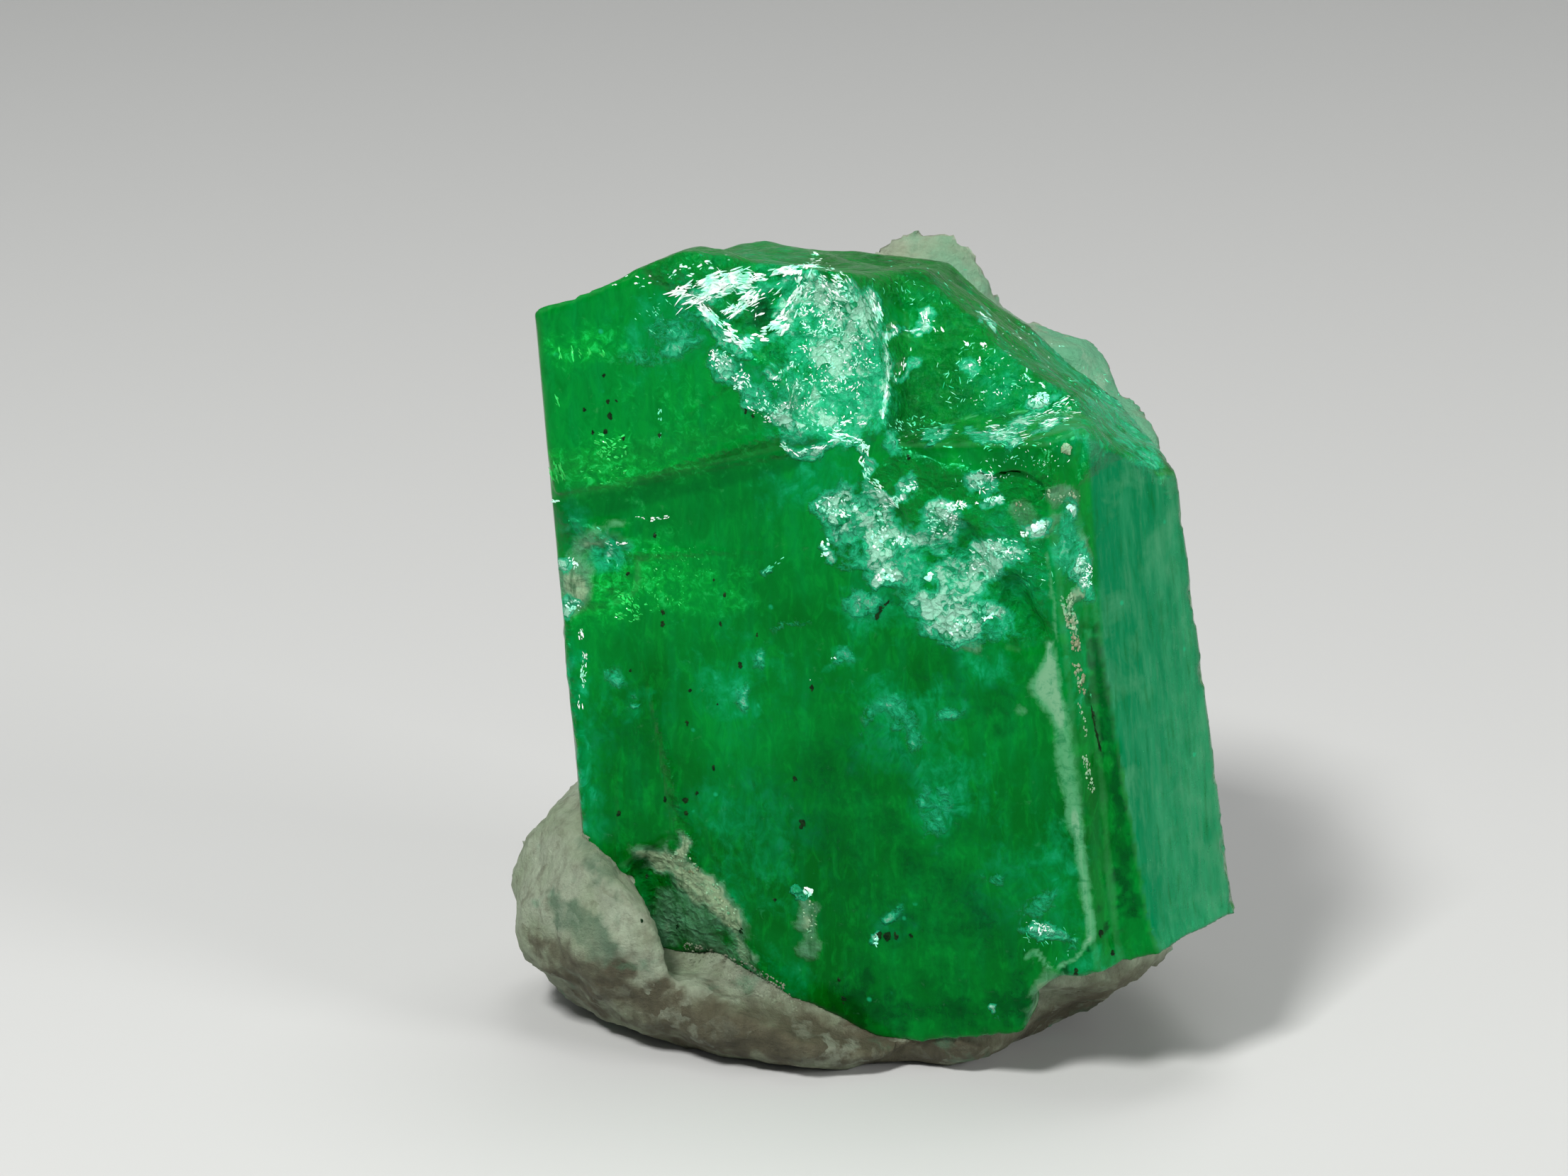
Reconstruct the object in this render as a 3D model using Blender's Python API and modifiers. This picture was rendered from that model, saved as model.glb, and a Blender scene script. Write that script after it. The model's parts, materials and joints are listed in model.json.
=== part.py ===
"""An emerald crystal in its matrix: a broken six-sided prism of beryl in a seat of pale calcite.

The finished object is in metres, +Z up. It stands on the flat underside of the matrix, and the
origin is the middle of the whole object's box, at its base. The wide prism face looks towards -Y,
turned a little to -X. Angles named azimuth are measured from -Y, positive towards +X.
"""

import math

import bmesh
import bpy
from mathutils import Matrix, Vector, noise

# The shapes are built in millimetres and degrees, and brought to metres at the end
MM = 0.001
UP = Vector((0.0, 0.0, 1.0))

# What puts the middle of the finished object's box over the origin
CENTRING = Vector((0.03, -0.55, 0.0))

# The crystal's axis: where it stands at half height, and how far its top leans towards -X
AXIS_FOOT = Vector((0.32, 0.0, 6.5))
AXIS_LEAN = 6.0

# The prism's faces: azimuth, taper, and distance from the axis at half height, and the height of
# the block that they are cut from
FRONT_AZIMUTH = -20.0
FRONT_DISTANCE = 2.84
PRISM_FACES = (
    (FRONT_AZIMUTH, 0.0, FRONT_DISTANCE),
    (FRONT_AZIMUTH + 60.0, 4.0, 5.0),
    (FRONT_AZIMUTH + 120.0, 1.8, 4.6),
    (FRONT_AZIMUTH + 180.0, 0.0, 3.03),
    (FRONT_AZIMUTH + 240.0, 0.5, 3.94),
    (FRONT_AZIMUTH + 300.0, 1.8, 5.22),
)
ROUGH_LENGTH = 20.0

# Growth steps: the upper left of the front face stands proud of the rest, and a strip beside the
# right face is set back from the front face, on the right of a long ridge
LEDGE_STEP = 0.24
LEDGE_CORNER = Vector((-5.31, -0.8, 9.4))
LEDGE_RISE = 12.5
STRIP_STEP = 0.42
RIDGE_POINT = Vector((3.2, -3.8, 6.5))

# Where the crystal parted across its length, above the middle of the front face
PARTING_POINT = Vector((0.26, -2.9, 11.0))

# What separates the crystal from the rock that it sits in, and how far the seat is cut open in
# front of the crystal, so that no rock covers its front face
SEAT_GAP = 0.06
SEAT_FRONT = 3.0

# What makes every run stray in the same way
NOISE_SEED = 7

# How far the corners of a rough surface stray from a regular grid, as a share of its cells
JITTER = 0.28

# How thick a slab that breaks a piece off is, as a share of its width
SLAB_THICKNESS = 0.6

# A block that is surely larger than the whole object
LARGE_BLOCK = 40.0

# Broken planes: name, point, outward normal, width, cells, roughness, grain, seed
TOP_BREAKS = (
    ("top_left", (-5.5, -0.8, 12.42), (-0.4, 0.28, 0.87), 14.0, 26, 0.1, 2.0, 1),
    ("top", (-1.5, -1.5, 13.6), (0.08, 0.2, 0.97), 14.0, 30, 0.25, 2.6, 2),
    ("top_right", (0.91, 2.0, 12.9), (0.594, 0.03, 0.803), 14.0, 36, 0.3, 2.4, 3),
)
FACET_BREAK = ("facet", (2.4, -2.25, 11.0), (-0.07, -0.74, 0.67), 9.0, 26, 0.06, 1.8, 4)
FACET_WALL = (Vector((0.22, -2.9, 11.0)), Vector((-0.84, 0.38, -0.39)).normalized())
FOOT_BREAKS = (
    ("foot_middle", (-1.0, -2.1, 0.92), (-0.3, 0.08, -0.95), 16.0, 32, 0.14, 1.5, 5),
    ("foot", (1.4, -2.9, 0.74), (0.2, 0.1, -0.97), 16.0, 32, 0.14, 1.8, 6),
)
FOOT_LEFT_BREAK = ("foot_left", (-4.36, -1.0, 3.22), (-0.62, -0.05, -0.78), 12.0, 34, 0.12, 1.3, 7)
FOOT_LEFT_WALL = (Vector((-3.72, -1.1, 2.3)), Vector((0.93, 0.2, 0.3)).normalized())
FOOT_RIGHT_BREAK = ("foot_right", (4.1, -2.9, 2.0), (0.25, 0.05, -0.97), 12.0, 34, 0.3, 1.2, 8)
FOOT_RIGHT_WALL = (Vector((2.64, -3.4, 1.5)), Vector((-0.97, 0.2, 0.12)).normalized())
CHIP_BREAK = ("foot_chip", (-3.2, -1.42, 3.7), (-0.56, -0.79, -0.24), 9.0, 30, 0.08, 0.9, 9)
CHIP_WALL = (Vector((-3.75, -1.1, 2.3)), Vector((-0.93, 0.2, -0.3)).normalized())
CHIP_BROW = (Vector((-3.2, -1.4, 3.8)), Vector((-0.67, 0.0, 0.74)))

# Hollows in the crystal: name, centre, radii, turn about Y, roughness, grain, seed
HOLLOWS = (
    ("bowl_shell", (-1.4, -2.75, 13.15), (0.98, 1.1, 2.3), -41.0, 0.1, 0.7, 11),
    ("bowl_foot", (-0.62, -2.95, 12.35), (0.92, 1.05, 1.6), 0.0, 0.14, 0.6, 12),
    ("frost_a", (-0.3, -2.98, 9.75), (0.95, 0.5, 0.62), 25.0, 0.2, 0.55, 13),
    ("frost_b", (0.95, -3.4, 9.3), (1.15, 0.55, 0.72), 40.0, 0.22, 0.5, 14),
    ("frost_c", (1.95, -3.72, 8.45), (0.95, 0.5, 0.6), 45.0, 0.2, 0.5, 15),
    ("frost_d", (1.5, -3.45, 10.3), (1.5, 0.5, 0.35), -8.0, 0.16, 0.5, 16),
    ("edge_chip_a", (-4.75, -1.4, 8.35), (0.95, 0.55, 0.9), 20.0, 0.14, 0.6, 17),
    ("edge_chip_b", (-5.2, -0.75, 7.2), (0.35, 0.5, 0.8), 0.0, 0.08, 0.4, 18),
)

# A hollow longer than this gets finer facets
LARGE_HOLLOW = 1.55

# Lumps that make up the matrix: centre and radii
LUMPS = (
    ((-0.4, 0.3, 0.75), (5.0, 3.45, 1.2)),
    ((-3.3, 0.3, 2.0), (2.75, 2.6, 2.3)),
    ((0.2, 2.6, 2.6), (4.6, 2.2, 3.2)),
    ((0.9, 3.2, 6.6), (4.2, 1.9, 5.3)),
    ((3.6, -1.3, 1.5), (1.7, 1.9, 1.0)),
    ((4.3, 1.2, 6.0), (1.1, 2.1, 4.5)),
    ((2.95, 2.6, 10.1), (1.2, 1.3, 1.3)),
    ((0.85, 3.6, 11.7), (1.35, 0.9, 1.3)),
)

# How the lumps are blended: the size of the cells, how far and how often they are smoothed, the
# height and grain of their roughness, and the share of the triangles that is kept
LUMP_VOXEL = 0.3
LUMP_SMOOTHING = 0.5
LUMP_SMOOTHINGS = 4
LUMP_ROUGH = 0.22
LUMP_GRAIN = 1.5
MATRIX_SHARE = 0.34

# Where the rock broke out of its bed, behind the crystal
ROCK_BREAKS = (
    ("rock_back", (0.5, 4.6, 6.0), (0.06, 0.98, 0.17), 22.0, 44, 0.3, 2.6, 21),
    ("rock_back_right", (4.5, 3.4, 6.0), (0.74, 0.66, 0.12), 22.0, 44, 0.25, 2.2, 22),
    ("rock_back_left", (-2.4, 4.45, 7.4), (-0.62, 0.74, 0.25), 22.0, 44, 0.3, 2.4, 23),
    ("rock_shoulder", (-4.4, 2.0, 3.9), (-0.66, 0.4, 0.64), 7.0, 18, 0.2, 1.5, 24),
    ("rock_foot_back", (0.0, 4.4, 1.2), (0.1, 0.85, -0.5), 22.0, 44, 0.25, 2.4, 25),
)


def clear_scene():
    """Removes whatever the file holds."""
    for item in list(bpy.data.objects):
        bpy.data.objects.remove(item, do_unlink=True)


def make_collection(name):
    """A new collection in the scene."""
    made = bpy.data.collections.new(name)
    bpy.context.scene.collection.children.link(made)
    return made


def material(name, colour, roughness, transmission=0.0, ior=1.5):
    """A Principled material of one colour."""
    made = bpy.data.materials.new(name)
    made.use_nodes = True
    shader = made.node_tree.nodes["Principled BSDF"]
    shader.inputs["Base Color"].default_value = (*colour, 1.0)
    shader.inputs["Roughness"].default_value = roughness
    shader.inputs["Transmission Weight"].default_value = transmission
    shader.inputs["IOR"].default_value = ior
    return made


def object_from(bm, name, collection):
    """An object from a bmesh, which is freed."""
    bmesh.ops.triangulate(bm, faces=bm.faces)
    bmesh.ops.recalc_face_normals(bm, faces=bm.faces)
    mesh = bpy.data.meshes.new(name)
    bm.to_mesh(mesh)
    bm.free()
    made = bpy.data.objects.new(name, mesh)
    collection.objects.link(made)
    return made


def cutter(bm, name, collection):
    """A helper that is never part of the object."""
    made = object_from(bm, name, collection)
    made.hide_render = True
    made.display_type = "WIRE"
    return made


def cut_away(target, other):
    """Cuts one object's shape out of another, at once, and leaves triangles."""
    modifier = target.modifiers.new(other.name, "BOOLEAN")
    modifier.operation = "DIFFERENCE"
    modifier.solver = "EXACT"
    modifier.object = other
    apply_modifiers(target)


def apply_modifiers(obj):
    """Replaces an object's mesh by triangles of what its modifiers make of it."""
    graph = bpy.context.evaluated_depsgraph_get()
    graph.update()
    mesh = bpy.data.meshes.new_from_object(obj.evaluated_get(graph))
    obj.modifiers.clear()
    bm = bmesh.new()
    bm.from_mesh(mesh)
    bmesh.ops.triangulate(bm, faces=bm.faces)
    bm.to_mesh(mesh)
    bm.free()
    obj.data = mesh


def direction(azimuth, elevation=0.0):
    """The unit vector that looks along an azimuth from -Y and an elevation."""
    turn, rise = math.radians(azimuth), math.radians(elevation)
    level = math.cos(rise)
    return Vector((math.sin(turn) * level, -math.cos(turn) * level, math.sin(rise)))


def leaned(vector):
    """A direction of the upright crystal, as it lies in the leaning one."""
    return Matrix.Rotation(math.radians(-AXIS_LEAN), 3, "Y") @ vector


def keep_inside(bm, point, normal):
    """Cuts away what lies beyond a plane and closes the cut."""
    everything = bm.verts[:] + bm.edges[:] + bm.faces[:]
    cut = bmesh.ops.bisect_plane(
        bm, geom=everything, plane_co=point, plane_no=normal, clear_outer=True
    )
    rim = [item for item in cut["geom_cut"] if isinstance(item, bmesh.types.BMEdge)]
    bmesh.ops.contextual_create(bm, geom=rim)


def prism(name, collection, gap=0.0, front_gap=0.0):
    """The crystal before it was broken: six faces round a leaning axis, each moved out by a gap."""
    bm = bmesh.new()
    bmesh.ops.create_cube(bm, size=ROUGH_LENGTH)
    bmesh.ops.rotate(bm, verts=bm.verts, matrix=Matrix.Rotation(math.radians(-AXIS_LEAN), 3, "Y"))
    bmesh.ops.translate(bm, verts=bm.verts, vec=AXIS_FOOT)
    for azimuth, taper, distance in PRISM_FACES:
        extra = front_gap if azimuth == FRONT_AZIMUTH else gap
        point = AXIS_FOOT + leaned(direction(azimuth)) * (distance + extra)
        keep_inside(bm, point, leaned(direction(azimuth, taper)))
    return object_from(bm, name, collection)


def wedge(name, collection, corner, planes, size):
    """A block whose sides at a corner are the given planes, each named by its outward normal."""
    bm = bmesh.new()
    bmesh.ops.create_cube(bm, size=size)
    bmesh.ops.translate(bm, verts=bm.verts, vec=corner)
    for normal in planes:
        keep_inside(bm, corner, normal)
    return cutter(bm, name, collection)


def rough_slab(collection, shape, limits=(), offset=0.0):
    """A slab that breaks off what lies beyond a rough plane, inside any limiting planes.

    The offset moves the rough plane out, and the limiting planes in, by one distance.
    """
    name, point, normal, width, cells, rough, grain, seed = shape
    away = Vector(normal).normalized()
    bm = bmesh.new()
    bmesh.ops.create_grid(bm, x_segments=cells, y_segments=cells, size=width / 2.0)
    shift = Vector((seed * 7.3, seed * 3.1, seed * 5.7))
    cell = width / cells
    for vert in bm.verts:
        vert.co += noise.noise_vector(vert.co / cell * 0.7 + shift) * cell * JITTER
    for vert in bm.verts:
        vert.co.z = rough * noise.fractal(vert.co / grain + shift, 0.9, 2.1, 3)
    upper = bmesh.ops.extrude_face_region(bm, geom=bm.faces[:])["geom"]
    for vert in [item for item in upper if isinstance(item, bmesh.types.BMVert)]:
        vert.co.z = width * SLAB_THICKNESS
    turn = away.to_track_quat("Z", "Y").to_matrix().to_4x4()
    bmesh.ops.transform(
        bm, verts=bm.verts, matrix=Matrix.Translation(Vector(point) + away * offset) @ turn
    )
    for limit_point, limit_normal in limits:
        keep_inside(bm, limit_point - limit_normal * offset, limit_normal)
    return cutter(bm, name, collection)


def rough_ball(name, collection, centre, radii, turn, detail, rough, grain, seed):
    """A rough ellipsoid."""
    bm = bmesh.new()
    bmesh.ops.create_icosphere(bm, subdivisions=detail, radius=1.0)
    shape = Matrix.Translation(centre) @ Matrix.Rotation(math.radians(turn), 4, "Y")
    bmesh.ops.transform(bm, verts=bm.verts, matrix=shape @ Matrix.Diagonal((*radii, 1.0)))
    bm.normal_update()
    shift = Vector((seed * 5.1, seed * 9.7, seed * 2.3))
    for vert in bm.verts:
        vert.co += vert.normal * rough * noise.fractal(vert.co / grain + shift, 0.9, 2.1, 4)
    return cutter(bm, name, collection)


def grow_steps(crystal, tools):
    """Cuts the growth steps of the front face: the ledge at the upper left and the strip."""
    out = leaned(direction(FRONT_AZIMUTH))
    along = leaned(direction(FRONT_AZIMUTH + 90.0))
    up = leaned(UP)
    level = FRONT_DISTANCE - LEDGE_STEP
    rise = math.radians(LEDGE_RISE)
    over = up * math.cos(rise) - along * math.sin(rise)
    corner = LEDGE_CORNER - out * ((LEDGE_CORNER - AXIS_FOOT).dot(out) - level)
    cut_away(crystal, wedge("lower_layer", tools, corner, (-out, over), LARGE_BLOCK))
    right = leaned(direction(FRONT_AZIMUTH + 60.0))
    tread = level - STRIP_STEP
    ridge_depth = (RIDGE_POINT - AXIS_FOOT).dot(right)
    inner = out * tread + along * (ridge_depth - tread * out.dot(right)) / along.dot(right)
    strip = wedge("strip", tools, AXIS_FOOT + inner, (-out, -right), LARGE_BLOCK)
    cut_away(crystal, strip)


def break_top(crystal, tools):
    """Breaks the top: rough slopes, a facet above a flat parting, and hollows."""
    for shape in TOP_BREAKS:
        cut_away(crystal, rough_slab(tools, shape))
    parting = (PARTING_POINT, leaned(-UP))
    cut_away(crystal, rough_slab(tools, FACET_BREAK, (parting, FACET_WALL)))
    for name, centre, radii, turn, rough, grain, seed in HOLLOWS:
        detail = 4 if max(radii) > LARGE_HOLLOW else 3
        cut_away(crystal, rough_ball(name, tools, centre, radii, turn, detail, rough, grain, seed))


def break_foot(target, tools, offset=0.0):
    """Breaks the foot of the crystal, or of the seat's cutter when moved out by an offset."""
    for shape in FOOT_BREAKS:
        cut_away(target, rough_slab(tools, shape, offset=offset))
    cut_away(target, rough_slab(tools, FOOT_LEFT_BREAK, (FOOT_LEFT_WALL,), offset))
    cut_away(target, rough_slab(tools, FOOT_RIGHT_BREAK, (FOOT_RIGHT_WALL,), offset))


def chip_foot(crystal, tools):
    """Chips the lower left of the front face."""
    cut_away(crystal, rough_slab(tools, CHIP_BREAK, (CHIP_WALL, CHIP_BROW)))


def lumps_of_rock(collection):
    """The matrix as one mass of blended, rough lumps."""
    bm = bmesh.new()
    for centre, radii in LUMPS:
        shape = Matrix.Translation(centre) @ Matrix.Diagonal((*radii, 1.0))
        bmesh.ops.create_icosphere(bm, subdivisions=4, radius=1.0, matrix=shape)
    rock = object_from(bm, "matrix", collection)
    remesh = rock.modifiers.new("blend", "REMESH")
    remesh.mode = "VOXEL"
    remesh.voxel_size = LUMP_VOXEL
    smooth = rock.modifiers.new("smooth", "SMOOTH")
    smooth.factor = LUMP_SMOOTHING
    smooth.iterations = LUMP_SMOOTHINGS
    apply_modifiers(rock)
    bm = bmesh.new()
    bm.from_mesh(rock.data)
    bm.normal_update()
    for vert in bm.verts:
        vert.co += vert.normal * LUMP_ROUGH * noise.fractal(vert.co / LUMP_GRAIN, 0.9, 2.1, 4)
    bm.to_mesh(rock.data)
    bm.free()
    thin = rock.modifiers.new("thin", "DECIMATE")
    thin.ratio = MATRIX_SHARE
    apply_modifiers(rock)
    return rock


def main():
    """Breaks the crystal, cuts the rock to it, and gives both their finish and real size."""
    clear_scene()
    noise.seed_set(NOISE_SEED)
    model = make_collection("emerald_in_matrix")
    tools = make_collection("cutters")
    crystal = prism("emerald_crystal", model)
    grow_steps(crystal, tools)
    break_top(crystal, tools)
    break_foot(crystal, tools)
    chip_foot(crystal, tools)
    rock = lumps_of_rock(model)
    seat = prism("seat", tools, SEAT_GAP, SEAT_FRONT)
    seat.hide_render = True
    seat.display_type = "WIRE"
    break_foot(seat, tools, SEAT_GAP)
    for shape in ROCK_BREAKS:
        cut_away(rock, rough_slab(tools, shape))
    cut_away(rock, seat)
    under = wedge("underside", tools, Vector(), (UP,), LARGE_BLOCK)
    cut_away(rock, under)
    finishes = (
        material("emerald", (0.0, 0.3, 0.09), 0.1, 0.8, 1.577),
        material("calcite", (0.42, 0.38, 0.3), 0.85),
    )
    for piece, finish in zip((crystal, rock), finishes):
        piece.data.transform(Matrix.Scale(MM, 4) @ Matrix.Translation(CENTRING))
        piece.data.materials.clear()
        piece.data.materials.append(finish)


main()
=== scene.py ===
"""Dresses an emerald crystal in its matrix: fine relief, mineral finishes, and soft light.

The frame's solids stay as they are. Each is replaced by a finer copy of itself, which is shaped in
millimetres and brought back to metres. Marks that the photograph shows are placed by the pixel, in
its 2212 by 1659 frame, at which they are seen, and sized in millimetres.
"""

import json
import logging
import math
import random
from dataclasses import dataclass
from enum import Enum

import bmesh
import bpy
import numpy as np
from mathutils import Matrix, Vector, kdtree, noise
from mathutils.bvhtree import BVHTree

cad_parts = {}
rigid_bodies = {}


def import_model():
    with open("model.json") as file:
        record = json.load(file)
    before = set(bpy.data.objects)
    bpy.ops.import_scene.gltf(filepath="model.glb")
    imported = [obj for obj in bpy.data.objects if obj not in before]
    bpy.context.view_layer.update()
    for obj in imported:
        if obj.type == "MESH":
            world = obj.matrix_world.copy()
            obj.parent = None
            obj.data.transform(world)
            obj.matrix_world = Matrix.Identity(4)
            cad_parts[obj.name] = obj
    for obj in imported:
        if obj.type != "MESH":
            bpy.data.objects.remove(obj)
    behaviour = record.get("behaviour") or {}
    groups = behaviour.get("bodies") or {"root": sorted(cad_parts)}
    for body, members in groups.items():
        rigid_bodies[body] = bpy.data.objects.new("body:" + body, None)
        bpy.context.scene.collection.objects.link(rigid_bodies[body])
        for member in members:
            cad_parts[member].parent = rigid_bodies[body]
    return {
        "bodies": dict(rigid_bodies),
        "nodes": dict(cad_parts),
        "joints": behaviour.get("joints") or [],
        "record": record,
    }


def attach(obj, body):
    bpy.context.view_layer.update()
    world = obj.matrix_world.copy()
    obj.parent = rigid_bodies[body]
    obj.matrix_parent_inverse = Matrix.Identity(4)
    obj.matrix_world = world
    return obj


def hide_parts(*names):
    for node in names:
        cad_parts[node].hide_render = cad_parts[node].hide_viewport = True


LOG = logging.getLogger("emerald_in_matrix")
MM = 0.001
ROOT = "root"
SEED = 11
MERGE = 0.0001
SMOOTH_ANGLE = 75.0
FACET_ANGLE = 1.0

Pair = tuple[float, float]
Triple = tuple[float, float, float]
Socket = bpy.types.NodeSocket
Input = Socket | float | tuple


class Layer(Enum):
    """The painted masks that the materials read, each a number from 0 to 1 at every corner."""

    # White frost, with painted glints and reflections.
    FROST_AND_GLINTS = "frost_and_glints"
    CLOUD = "cloud"
    # Painted light on the crystal, glints and lit patches; moss green on the rock.
    GLOW = "glow"
    CRUST = "crust"
    # Real stains, with painted shade.
    STAIN_AND_SHADE = "stain_and_shade"
    EDGE = "edge"
    STRIAE = "striae"
    BROKEN = "broken"
    WORN = "worn"
    # Painted shadow under the ledge.
    SHADE = "shade"


@dataclass(frozen=True)
class Picture:
    """How the photograph sees the object, with lengths in millimetres and places in pixels."""

    width: float = 2212.0
    height: float = 1659.0
    pixels_per_mm: float = 84.4
    elevation: float = 18.0
    lens: float = 120.0
    sensor: float = 36.0
    target: Triple = (0.03, -0.55, 6.49)
    target_pixel: Pair = (1228.0, 920.0)

    def axes(self) -> tuple[Vector, Vector, Vector]:
        """The directions of the picture.

        Returns:
            The ways to its right, to its top, and back to the viewer.
        """
        rise = math.radians(self.elevation)
        right = Vector((1.0, 0.0, 0.0))
        back = Vector((0.0, -math.cos(rise), math.sin(rise)))
        return right, back.cross(right), back

    def eye(self) -> Vector:
        """Where the viewer is, in millimetres.

        Returns:
            The eye's place.
        """
        right, up, back = self.axes()
        away = self.width / self.pixels_per_mm * self.lens / self.sensor
        across = (self.target_pixel[0] - self.width / 2.0) / self.pixels_per_mm
        down = (self.target_pixel[1] - self.height / 2.0) / self.pixels_per_mm
        return Vector(self.target) + back * away - right * across + up * down

    def pixels(self, points: np.ndarray) -> np.ndarray:
        """Where points are seen.

        Args:
            points: One row for each point, in millimetres.

        Returns:
            One row for each point: its column and row in the photograph.
        """
        right, up, back = (np.array(axis) for axis in self.axes())
        offset = points - np.array(self.eye())
        scale = self.width * self.lens / self.sensor / -(offset @ back)
        column = self.width / 2.0 + (offset @ right) * scale
        row = self.height / 2.0 - (offset @ up) * scale
        return np.stack((column, row), axis=1)

    def ray(self, pixel: Pair) -> Vector:
        """The direction from the eye through a pixel.

        Args:
            pixel: A column and a row of the photograph.

        Returns:
            The direction, with a length of 1.
        """
        right, up, back = self.axes()
        reach = self.lens / self.sensor * self.width
        across = pixel[0] - self.width / 2.0
        rise = self.height / 2.0 - pixel[1]
        return (right * across + up * rise - back * reach).normalized()


PICTURE = Picture()


@dataclass(frozen=True)
class Mark:
    """A patch that the photograph shows on the stone.

    Its middle is a pixel, its half width and half height are in millimetres, and its turn is in
    degrees clockwise.
    """

    at: Pair
    size: Pair
    turn: float = 0.0
    strength: float = 1.0
    softness: float = 0.5

    def reach(self, seen: np.ndarray) -> np.ndarray:
        """How far points are from the middle, where 1 is at the outline.

        Args:
            seen: The pixel of each point.

        Returns:
            One number for each point.
        """
        offset = (seen - np.array(self.at)) / PICTURE.pixels_per_mm
        turn = math.radians(self.turn)
        along = offset[:, 0] * math.cos(turn) + offset[:, 1] * math.sin(turn)
        over = offset[:, 1] * math.cos(turn) - offset[:, 0] * math.sin(turn)
        return np.hypot(along / self.size[0], over / self.size[1])

    def pick(self, rng: random.Random) -> tuple[Pair, float]:
        """A pixel in the patch and a heading, both by chance.

        Args:
            rng: What draws the numbers.

        Returns:
            The pixel, and the heading in radians clockwise from the right.
        """
        around = rng.uniform(0.0, math.tau)
        out = math.sqrt(rng.random()) * PICTURE.pixels_per_mm
        turn = math.radians(self.turn)
        along = math.cos(around) * out * self.size[0]
        over = math.sin(around) * out * self.size[1]
        column = self.at[0] + along * math.cos(turn) - over * math.sin(turn)
        row = self.at[1] + along * math.sin(turn) + over * math.cos(turn)
        return (column, row), rng.uniform(0.0, math.pi)


@dataclass(frozen=True)
class Stroke:
    """A line that the photograph shows: its pixels, and its half width in millimetres.

    Its taper is the share of its width that it loses towards both ends.
    """

    path: tuple[Pair, ...]
    half_width: float
    strength: float = 1.0
    softness: float = 0.45
    taper: float = 0.6

    def reach(self, seen: np.ndarray) -> np.ndarray:
        """How far points are from the line, where 1 is at its edge.

        Args:
            seen: The pixel of each point.

        Returns:
            One number for each point.
        """
        places = np.array(self.path)
        lengths = np.linalg.norm(np.diff(places, axis=0), axis=1)
        passed = np.concatenate(((0.0,), np.cumsum(lengths))) / lengths.sum()
        nearest = np.full(len(seen), np.inf)
        for index, start in enumerate(places[:-1]):
            run = places[index + 1] - start
            share = np.clip((seen - start) @ run / (run @ run), 0.0, 1.0)
            gap = np.linalg.norm(seen - start - share[:, None] * run, axis=1)
            along = passed[index] + share * (passed[index + 1] - passed[index])
            width = 1.0 - self.taper * np.abs(2.0 * along - 1.0) ** 2
            nearest = np.minimum(nearest, gap / width)
        return nearest / PICTURE.pixels_per_mm / self.half_width

    def pick(self, rng: random.Random) -> tuple[Pair, float]:
        """A pixel on the line, by chance, and the line's heading there.

        Args:
            rng: What draws the numbers.

        Returns:
            The pixel, and about the line's heading there, in radians clockwise from the right.
        """
        lengths = [math.dist(*pair) for pair in zip(self.path, self.path[1:])]
        (first, second), = rng.choices(list(zip(self.path, self.path[1:])), lengths)
        share = rng.random()
        aside = rng.uniform(-1.0, 1.0) * self.half_width * PICTURE.pixels_per_mm
        heading = math.atan2(second[1] - first[1], second[0] - first[0])
        column = first[0] + (second[0] - first[0]) * share - math.sin(heading) * aside
        row = first[1] + (second[1] - first[1]) * share + math.cos(heading) * aside
        return (column, row), heading + rng.uniform(-0.35, 0.35)


Marks = tuple[Mark | Stroke, ...]


def patches(*rows: tuple) -> Marks:
    """Marks from rows of a column, a row, a half width, a half height, and what else a mark takes."""
    return tuple(Mark(row[:2], row[2:4], *row[4:]) for row in rows)


def strokes(*rows: tuple) -> Marks:
    """Strokes from rows of a path, a half width, and what else a stroke takes."""
    return tuple(Stroke(*row) for row in rows)


def deselect_all() -> None:
    """Leaves nothing selected and nothing active."""
    bpy.context.view_layer.update()
    for item in bpy.context.view_layer.objects:
        item.select_set(False)
    bpy.context.view_layer.objects.active = None


def choose(piece: bpy.types.Object) -> None:
    """Makes one object the only one selected, and the active one.

    Args:
        piece: The object.
    """
    deselect_all()
    piece.select_set(True)
    bpy.context.view_layer.objects.active = piece


def in_edit_mode(piece: bpy.types.Object) -> None:
    """Opens an object's mesh in edit mode, with all of it selected.

    Args:
        piece: A mesh object.
    """
    choose(piece)
    bpy.ops.object.mode_set(mode="EDIT")
    bpy.ops.mesh.select_all(action="SELECT")


def out_of_edit_mode() -> None:
    """Closes edit mode."""
    bpy.ops.object.mode_set(mode="OBJECT")


def apply_all(piece: bpy.types.Object) -> None:
    """Applies every modifier of an object.

    Args:
        piece: A mesh object.
    """
    choose(piece)
    for modifier in list(piece.modifiers):
        bpy.ops.object.modifier_apply(modifier=modifier.name)


def corners(piece: bpy.types.Object) -> np.ndarray:
    """The places of a mesh's corners.

    Args:
        piece: A mesh object.

    Returns:
        One row for each corner.
    """
    flat = np.zeros(len(piece.data.vertices) * 3, np.float32)
    piece.data.vertices.foreach_get("co", flat)
    return flat.reshape(-1, 3).astype(float)


def move_corners(piece: bpy.types.Object, places: np.ndarray) -> None:
    """Puts a mesh's corners at new places."""
    piece.data.vertices.foreach_set("co", places.astype(np.float32).ravel())
    piece.data.update()


def normals(piece: bpy.types.Object) -> np.ndarray:
    """The outward directions at a mesh's corners.

    Args:
        piece: A mesh object.

    Returns:
        One row for each corner.
    """
    flat = np.zeros(len(piece.data.vertices) * 3, np.float32)
    piece.data.vertices.foreach_get("normal", flat)
    return flat.reshape(-1, 3).astype(float)


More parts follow.
